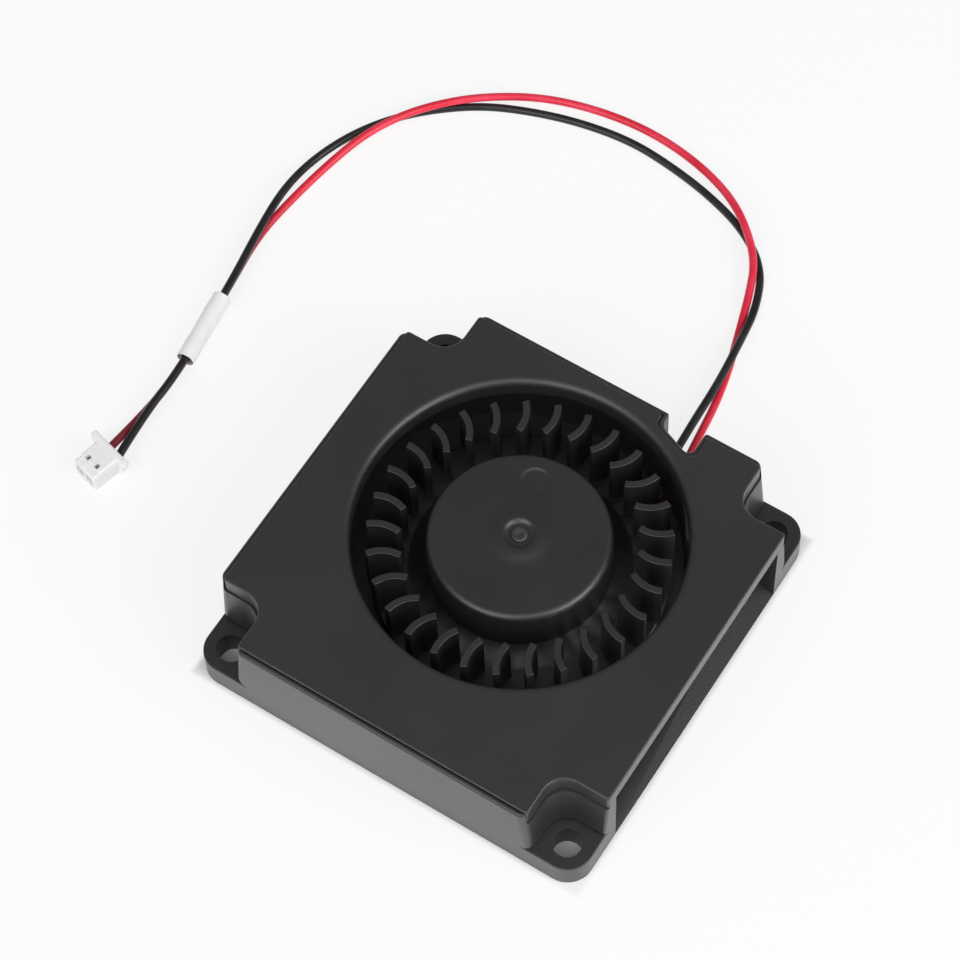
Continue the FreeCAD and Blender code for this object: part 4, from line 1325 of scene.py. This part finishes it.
@dataclass(frozen=True)
class Finish:
    """A finish: two near tones, a middle roughness, and the constants of its shader."""

    name: str
    dark: Colour
    light: Colour
    rough: float = 0.45
    metallic: float = 0.0
    ior: float = 1.5
    skin: float = 0.0
    milky: float = 0.0
    patches: float = 300.0
    grain: float = 3000.0
    depth: float = 0.00001
    tone_reach: Flat = (0.3, 0.7)
    gloss: float = 0.2

    def tone(self, graph: Graph, field: Socket) -> Socket:
        """The dark tone where a noise is below its reach, the light one above."""
        return graph.mix(field.ramp(*self.tone_reach), self.dark, self.light)

    def sheen(self, field: Socket) -> Socket:
        """The roughness, changed by a noise about its middle."""
        return self.rough + (field - 0.5) * self.gloss

    def varying(self, graph: Graph) -> Shading:
        """What changes over the surface: slow patches of tone and gloss, and a fine grain.

        Args:
            graph: The material's nodes.

        Returns:
            Inputs of the shader.
        """
        patch = graph.noise(self.patches, 4, 0.6)
        return {
            "Base Color": self.tone(graph, patch), "Roughness": self.sheen(patch),
            "Normal": graph.bump(graph.noise(self.grain, 3, 0.6), self.depth, 0.6),
        }

    def build(self) -> bpy.types.Material:
        """Makes the material.

        Returns:
            The finished material.
        """
        material = bpy.data.materials.new(self.name)
        material.use_nodes = True
        graph = Graph(material.node_tree)
        inputs = {
            "IOR": self.ior, "Metallic": self.metallic,
            "Coat Weight": self.skin, "Coat Roughness": self.rough, "Subsurface Weight": self.milky,
            "Subsurface Scale": 0.0008, "Subsurface Radius": (1.0, 1.0, 1.0), **self.varying(graph)}
        shader = graph.node("ShaderNodeBsdfPrincipled", inputs=inputs)
        graph.node("ShaderNodeOutputMaterial", inputs={"Surface": shader})
        # Makes the piece, gives it its finish and its body, and hides the node that it stands for.
        return material


@dataclass(frozen=True)
class MouldedPlastic(Finish):
    """Black plastic from an eroded mould: a fine even grain, faint flow clouds and a little dust."""

    gloss: float = 0.16
    grain_gloss: float = 0.1
    dust: float = 0.3
    dust_tone: Colour = rgb(96, 95, 92)
    speck_scale: float = 1500.0
    speck_reach: Flat = (0.66, 0.8)
    dusty_scale: float = 160.0
    dusty_reach: Flat = (0.45, 0.7)
    coarse_grain: float = 900.0
    coarse_depth: float = 0.00002

    def varying(self, graph: Graph) -> Shading:
        """Clouds of tone and gloss, dust that gathers in patches, and two sizes of grain.

        Args:
            graph: The material's nodes.

        Returns:
            Inputs of the shader.
        """
        grain, clouds = graph.noise(self.grain, 3, 0.6), graph.noise(self.patches, 4, 0.55)
        specks = graph.noise(self.speck_scale, 5, 0.7).ramp(*self.speck_reach)
        specks *= graph.noise(self.dusty_scale).ramp(*self.dusty_reach)
        return {
            "Base Color": graph.mix(specks * self.dust, self.tone(graph, clouds), self.dust_tone),
            "Roughness": self.sheen(clouds) + (grain - 0.5) * self.grain_gloss,
            "Normal": graph.bump(
                graph.noise(self.coarse_grain), self.coarse_depth, 0.5, graph.bump(grain, self.depth, 0.8)),
        }


@dataclass(frozen=True)
class Insulation(Finish):
    """Soft lead insulation with rubbed patches, and painted shade inside the housing and on the plug end."""

    tone_reach: Flat = (0.35, 0.7)
    gloss: float = 0.22
    # Tone of the painted shade on the leads, inside the housing and on the plug end.
    painted_shade_tone: Colour = rgb(24, 17, 18)
    inside_shade_share: float = 0.95
    inside_shade_reach: Flat = (0.0165, 0.0182)
    # Painted shade on the plug end of the leads, where the red lead lies under the black one.
    plug_end_shade_share: float = 0.75
    plug_end_shade_reach: Flat = (0.012, 0.028)

    def varying(self, graph: Graph) -> Shading:
        """Tone and gloss follow the rubbed patches, and a fine grain breaks the highlight.

        The dark tone is painted shade inside the housing: it ends where the larger of |x| and |y| passes the
        housing's wall. A thinner painted shade lies on the end with the plug, where y is small and the red
        lead lies under the black one.

        Args:
            graph: The material's nodes.

        Returns:
            Inputs of the shader.
        """
        rubbed, fine = graph.noise(self.patches, 4, 0.6), graph.noise(self.grain, 3, 0.65)
        # Painted shade: the leads are darkened inside the housing's walls.
        unshaded_outside = graph.maths(Sum.LARGER, abs(graph.axis("X")), abs(graph.axis("Y"))).ramp(*self.inside_shade_reach)
        # Painted shade: a thinner dark tone where y is small, on the plug end.
        plug_end_shade = (1 - graph.axis("Y").ramp(*self.plug_end_shade_reach)) * self.plug_end_shade_share
        share = graph.maths(Sum.LARGER, (1 - unshaded_outside) * self.inside_shade_share, plug_end_shade)
        return {
            "Base Color": graph.mix(share, self.tone(graph, rubbed), self.painted_shade_tone),
            "Roughness": self.sheen(rubbed),
            "Normal": graph.bump(fine, self.depth, 0.7),
        }


@dataclass(frozen=True)
class Striped(Finish):
    """Bright bands side by side, so many to a metre, with dark grooves between them."""

    bands: float = 1000.0
    strength: float = 0.7

    def across(self, graph: Graph) -> Socket:
        """The distance in metres that the bands are counted along; each kind has its own."""
        raise NotImplementedError

    def varying(self, graph: Graph) -> Shading:
        """A groove is where the distance times the bands per metre is near a whole number.

        Args:
            graph: The material's nodes.

        Returns:
            Inputs of the shader.
        """
        groove = abs(graph.maths(Sum.PART, self.across(graph) * self.bands) - 0.5).ramp(*self.tone_reach)
        return {
            "Base Color": graph.mix(groove, self.light, self.dark),
            "Roughness": self.rough + groove * self.gloss,
            "Normal": graph.bump(1 - groove, self.depth, self.strength),
        }


@dataclass(frozen=True)
class Laminated(Striped):
    """Stacked core sheets: dark seams between bright cut edges."""

    bands: float = 2850.0
    tone_reach: Flat = (0.36, 0.48)
    gloss: float = 0.3
    depth: float = 0.00003

    def across(self, graph: Graph) -> Socket:
        """The height."""
        return graph.axis("Z")


@dataclass(frozen=True)
class Wound(Striped):
    """Enamelled copper turns lying side by side round the motor axis."""

    bands: float = 5500.0
    strength: float = 0.8
    axis_y: float = Shell.axis_y * MM
    tone_reach: Flat = (0.2, 0.5)
    gloss: float = 0.25
    depth: float = 0.00005

    def across(self, graph: Graph) -> Socket:
        """The distance from the motor axis, by Pythagoras."""
        return (graph.axis("X") ** 2 + (graph.axis("Y") - self.axis_y) ** 2) ** 0.5


@dataclass(frozen=True)
class SolderMask(Finish):
    """Solder mask over copper, whose tracks show as a lighter tone and a slight rise."""

    tone_reach: Flat = (0.28, 0.34)
    gloss: float = 0.15
    gloss_scale: float = 500.0
    depth: float = 0.00003

    def varying(self, graph: Graph) -> Shading:
        """Tracks are the borders of square cells.

        Args:
            graph: The material's nodes.

        Returns:
            Inputs of the shader.
        """
        cells = graph.node("ShaderNodeTexVoronoi", {"distance": "CHEBYCHEV", "feature": "F1"}, {
            "Vector": graph.place(), "Scale": self.patches})
        gaps = cells.ramp(*self.tone_reach)
        return {
            "Base Color": graph.mix(gaps, self.light, self.dark),
            "Roughness": self.rough + graph.noise(self.gloss_scale) * self.gloss,
            "Normal": graph.bump(gaps, self.depth, 0.4),
        }


FINISHES = (
    MouldedPlastic("black_plastic", rgb(32, 32, 33), rgb(37, 37, 38), 0.42, skin=0.55, patches=70, grain=5200,
                   depth=0.00003),
    MouldedPlastic("rotor_plastic", rgb(27, 27, 28), rgb(32, 32, 33), 0.4, skin=0.6, patches=120, grain=3800),
    Finish("yoke_steel", rgb(150, 152, 155), rgb(178, 180, 182), 0.35, 1.0),
    Finish("magnet", rgb(52, 50, 50), rgb(66, 63, 62), 0.6),
    Finish("shaft_steel", rgb(84, 84, 86), rgb(106, 106, 108), 0.5, 1.0, patches=900),
    Finish("nylon", rgb(226, 224, 216), rgb(238, 237, 231), 0.4),
    Finish("brass", rgb(196, 160, 86), rgb(216, 182, 108), 0.3, 1.0),
    Finish("bronze", rgb(140, 96, 58), rgb(172, 122, 76), 0.5, 1.0, patches=1500),
    Laminated("core_steel", rgb(60, 60, 64), rgb(150, 152, 156), 0.38, 1.0),
    Finish("insulator_plastic", rgb(214, 208, 192), rgb(228, 223, 210), 0.45),
    Wound("copper_wire", rgb(120, 56, 24), rgb(196, 108, 52), 0.3, 0.9),
    SolderMask("circuit_board", rgb(14, 66, 42), rgb(24, 92, 58), 0.35, patches=900),
    Finish("chip_body", rgb(34, 34, 36), rgb(44, 44, 46), 0.5),
    Finish("capacitor_body", rgb(160, 118, 76), rgb(182, 140, 96), 0.45),
    Finish("solder", rgb(186, 188, 190), rgb(210, 212, 214), 0.25, 1.0),
    Insulation("red_insulation", rgb(226, 34, 60), rgb(240, 58, 86), 0.34, patches=260, grain=4200),
    Insulation("black_insulation", rgb(20, 20, 22), rgb(35, 36, 38), 0.33, patches=420, grain=3600),
    Finish("white_sleeve", rgb(250, 250, 250), rgb(254, 254, 254), 0.4),
    Finish("white_nylon", rgb(252, 252, 251), rgb(255, 255, 254), 0.35, milky=0.6),
    Finish("terminal_metal", rgb(150, 149, 142), rgb(186, 184, 176), 0.3, 1.0),
)


class Wardrobe:
    """The finishes, and which slot of the record each node takes its finish from."""

    def __init__(self) -> None:
        """Makes every finish once."""
        self.materials = {finish.name: finish.build() for finish in FINISHES}
        self.slots = {part["node"]: part["material_slot"] for part in frame["record"]["subparts"]}

    def wear(self, piece: bpy.types.Object, node: str) -> None:
        """Gives a piece the finish of a node.

        Args:
            piece: The piece to dress.
            node: The node whose finish it wears.
        """
        slot = self.slots[node]
        piece.data.materials.clear()
        piece.data.materials.append(self.materials[slot])

    def dress_frame(self) -> None:
        """Dresses every node that comes over from the frame as it is."""
        for node, piece in frame["nodes"].items():
            self.wear(piece, node)
            LOG.info("%s keeps its shape", node)


@dataclass(frozen=True)
class Lamp:
    """A square soft light that faces the object from a distance in metres."""

    name: str
    azimuth: float
    elevation: float
    level: float
    distance: float = 0.7
    size: float = 0.5

    def hang(self) -> None:
        """Hangs the lamp, its power worked out from the level that it gives on a level white surface."""
        turn, rise = math.radians(self.azimuth), math.radians(self.elevation)
        away = Vector((math.cos(turn) * math.cos(rise), math.sin(turn) * math.cos(rise), math.sin(rise)))
        data = bpy.data.lights.new(self.name, "AREA")
        data.shape = "SQUARE"
        data.size = self.size
        data.energy = self.level * math.pi**2 * self.distance**2 / math.sin(rise)
        turned = away.to_track_quat("Z", "Y").to_matrix().to_4x4()
        add_object(self.name, data).matrix_world = Matrix.Translation(away * self.distance) @ turned


@dataclass(frozen=True)
class Studio:
    """Camera, lamps, world and floor of the picture."""

    focal_px: float = 3408.23
    picture_px: float = 960.0
    sensor: float = 36.0
    azimuth: float = 35.31
    elevation: float = 61.91
    roll: float = -3.19
    target: Flat = (-8.75, 9.62)
    distance: float = 312.87
    clip: Flat = (0.01, 20.0)
    world_level: float = 0.29
    floor_reach: float = 4.0
    floor_tones: tuple[Colour, Colour] = (rgb(247, 247, 247), rgb(250, 250, 250))
    floor_patches: float = 6.0
    white: Colour = rgb(255, 255, 255)
    glow: float = 0.8
    glow_start: Flat = (-0.1, 0.6)
    lamps: tuple[Lamp, ...] = (
        Lamp("front_lamp", -95.0, 40.0, 0.29),
        Lamp("outlet_lamp", 0.0, 31.0, 0.34),
        Lamp("high_lamp", -42.0, 66.0, 0.12),
    )

    def set_camera(self) -> None:
        """Puts the camera at the photograph's place, turn and length."""
        turn, rise, roll = (math.radians(v) for v in (self.azimuth, self.elevation, self.roll))
        back = Vector((math.sin(turn) * math.cos(rise), -math.cos(turn) * math.cos(rise), math.sin(rise)))
        right = Vector((math.cos(turn), math.sin(turn), 0.0))
        up = back.cross(right)
        across = right * math.cos(roll) + up * math.sin(roll)
        upright = up * math.cos(roll) - right * math.sin(roll)
        data = bpy.data.cameras.new("camera")
        data.sensor_width = self.sensor
        data.lens = self.focal_px / self.picture_px * self.sensor
        data.clip_start, data.clip_end = self.clip
        camera = bpy.context.scene.camera = add_object("camera", data)
        place = Matrix.Translation((Vector((*self.target, 0.0)) + back * self.distance) * MM)
        camera.matrix_world = place @ Matrix((across, upright, back)).transposed().to_4x4()

    def light(self) -> None:
        """Hangs the lamps and sets the world: a plain level, and white where the camera sees it."""
        for lamp in self.lamps:
            lamp.hang()
        world = bpy.data.worlds.new("world")
        bpy.context.scene.world = world
        world.use_nodes = True
        graph = Graph(world.node_tree)
        seen = graph.node("ShaderNodeLightPath", output="Is Camera Ray")
        plain, white = (
            graph.node("ShaderNodeBackground", inputs={"Color": self.white, "Strength": level})
            for level in (self.world_level, 1.0))
        surface = graph.node("ShaderNodeMixShader", inputs={0: seen, 1: plain, 2: white})
        graph.node("ShaderNodeOutputWorld", inputs={"Surface": surface})
        bpy.context.scene.view_settings.view_transform = "Standard"

    def lay_floor(self) -> None:
        """Lays the pale floor, which glows a little for the rays that see it away from the object."""
        reach = self.floor_reach
        mesh = bpy.data.meshes.new("floor")
        mesh.from_pydata([(-reach, -reach, 0), (reach, -reach, 0), (reach, reach, 0), (-reach, reach, 0)], [],
                         [(0, 1, 2, 3)])
        mesh.materials.append(self.floor_paint())
        add_object("floor", mesh)

    def floor_paint(self) -> bpy.types.Material:
        """Matt white paint mixed with a glow of strength 1, which starts at the housing's outer side.

        Returns:
            The floor's material.
        """
        material = bpy.data.materials.new("floor_paint")
        material.use_nodes = True
        graph = Graph(material.node_tree)
        tone = graph.mix(graph.noise(self.floor_patches), *self.floor_tones)
        paint = graph.node("ShaderNodeBsdfDiffuse", inputs={"Color": tone})
        glow = graph.node("ShaderNodeEmission", inputs={"Color": self.white, "Strength": 1.0})
        direct, mirrored, through = (
            graph.node("ShaderNodeLightPath", output=f"Is {kind} Ray")
            for kind in ("Camera", "Glossy", "Transmission"))
        seen = (direct + through) * self.glow + mirrored
        far = graph.maths(Sum.LARGER, abs(graph.axis("X")), abs(graph.axis("Y")))
        outside = far.ramp(*((Shell.half + shift) * MM for shift in self.glow_start))
        surface = graph.node("ShaderNodeMixShader", inputs={0: seen * outside, 1: paint, 2: glow})
        graph.node("ShaderNodeOutputMaterial", inputs={"Surface": surface})
        return material


def main() -> None:
    """Builds the picture: camera and leads first, then the other pieces, then light and floor."""
    logging.basicConfig(level=logging.INFO)
    studio, wardrobe = Studio(), Wardrobe()
    studio.set_camera()
    wardrobe.dress_frame()
    leads = [(lead, lead.dress(wardrobe)) for lead in (RED_LEAD, BLACK_LEAD)]
    hung = [piece.dress(wardrobe) for piece in (CrimpPlug(), MarkerTube())]
    hung.append(frame["nodes"]["crimp_terminals"])
    for lead, piece in leads:
        lead.declare(piece, hung)
    for piece in (LowerShell(), UpperShell(), BladeWheel(), MotorShaft()):
        piece.dress(wardrobe)
    studio.light()
    studio.lay_floor()


if __name__ == "__main__":
    main()
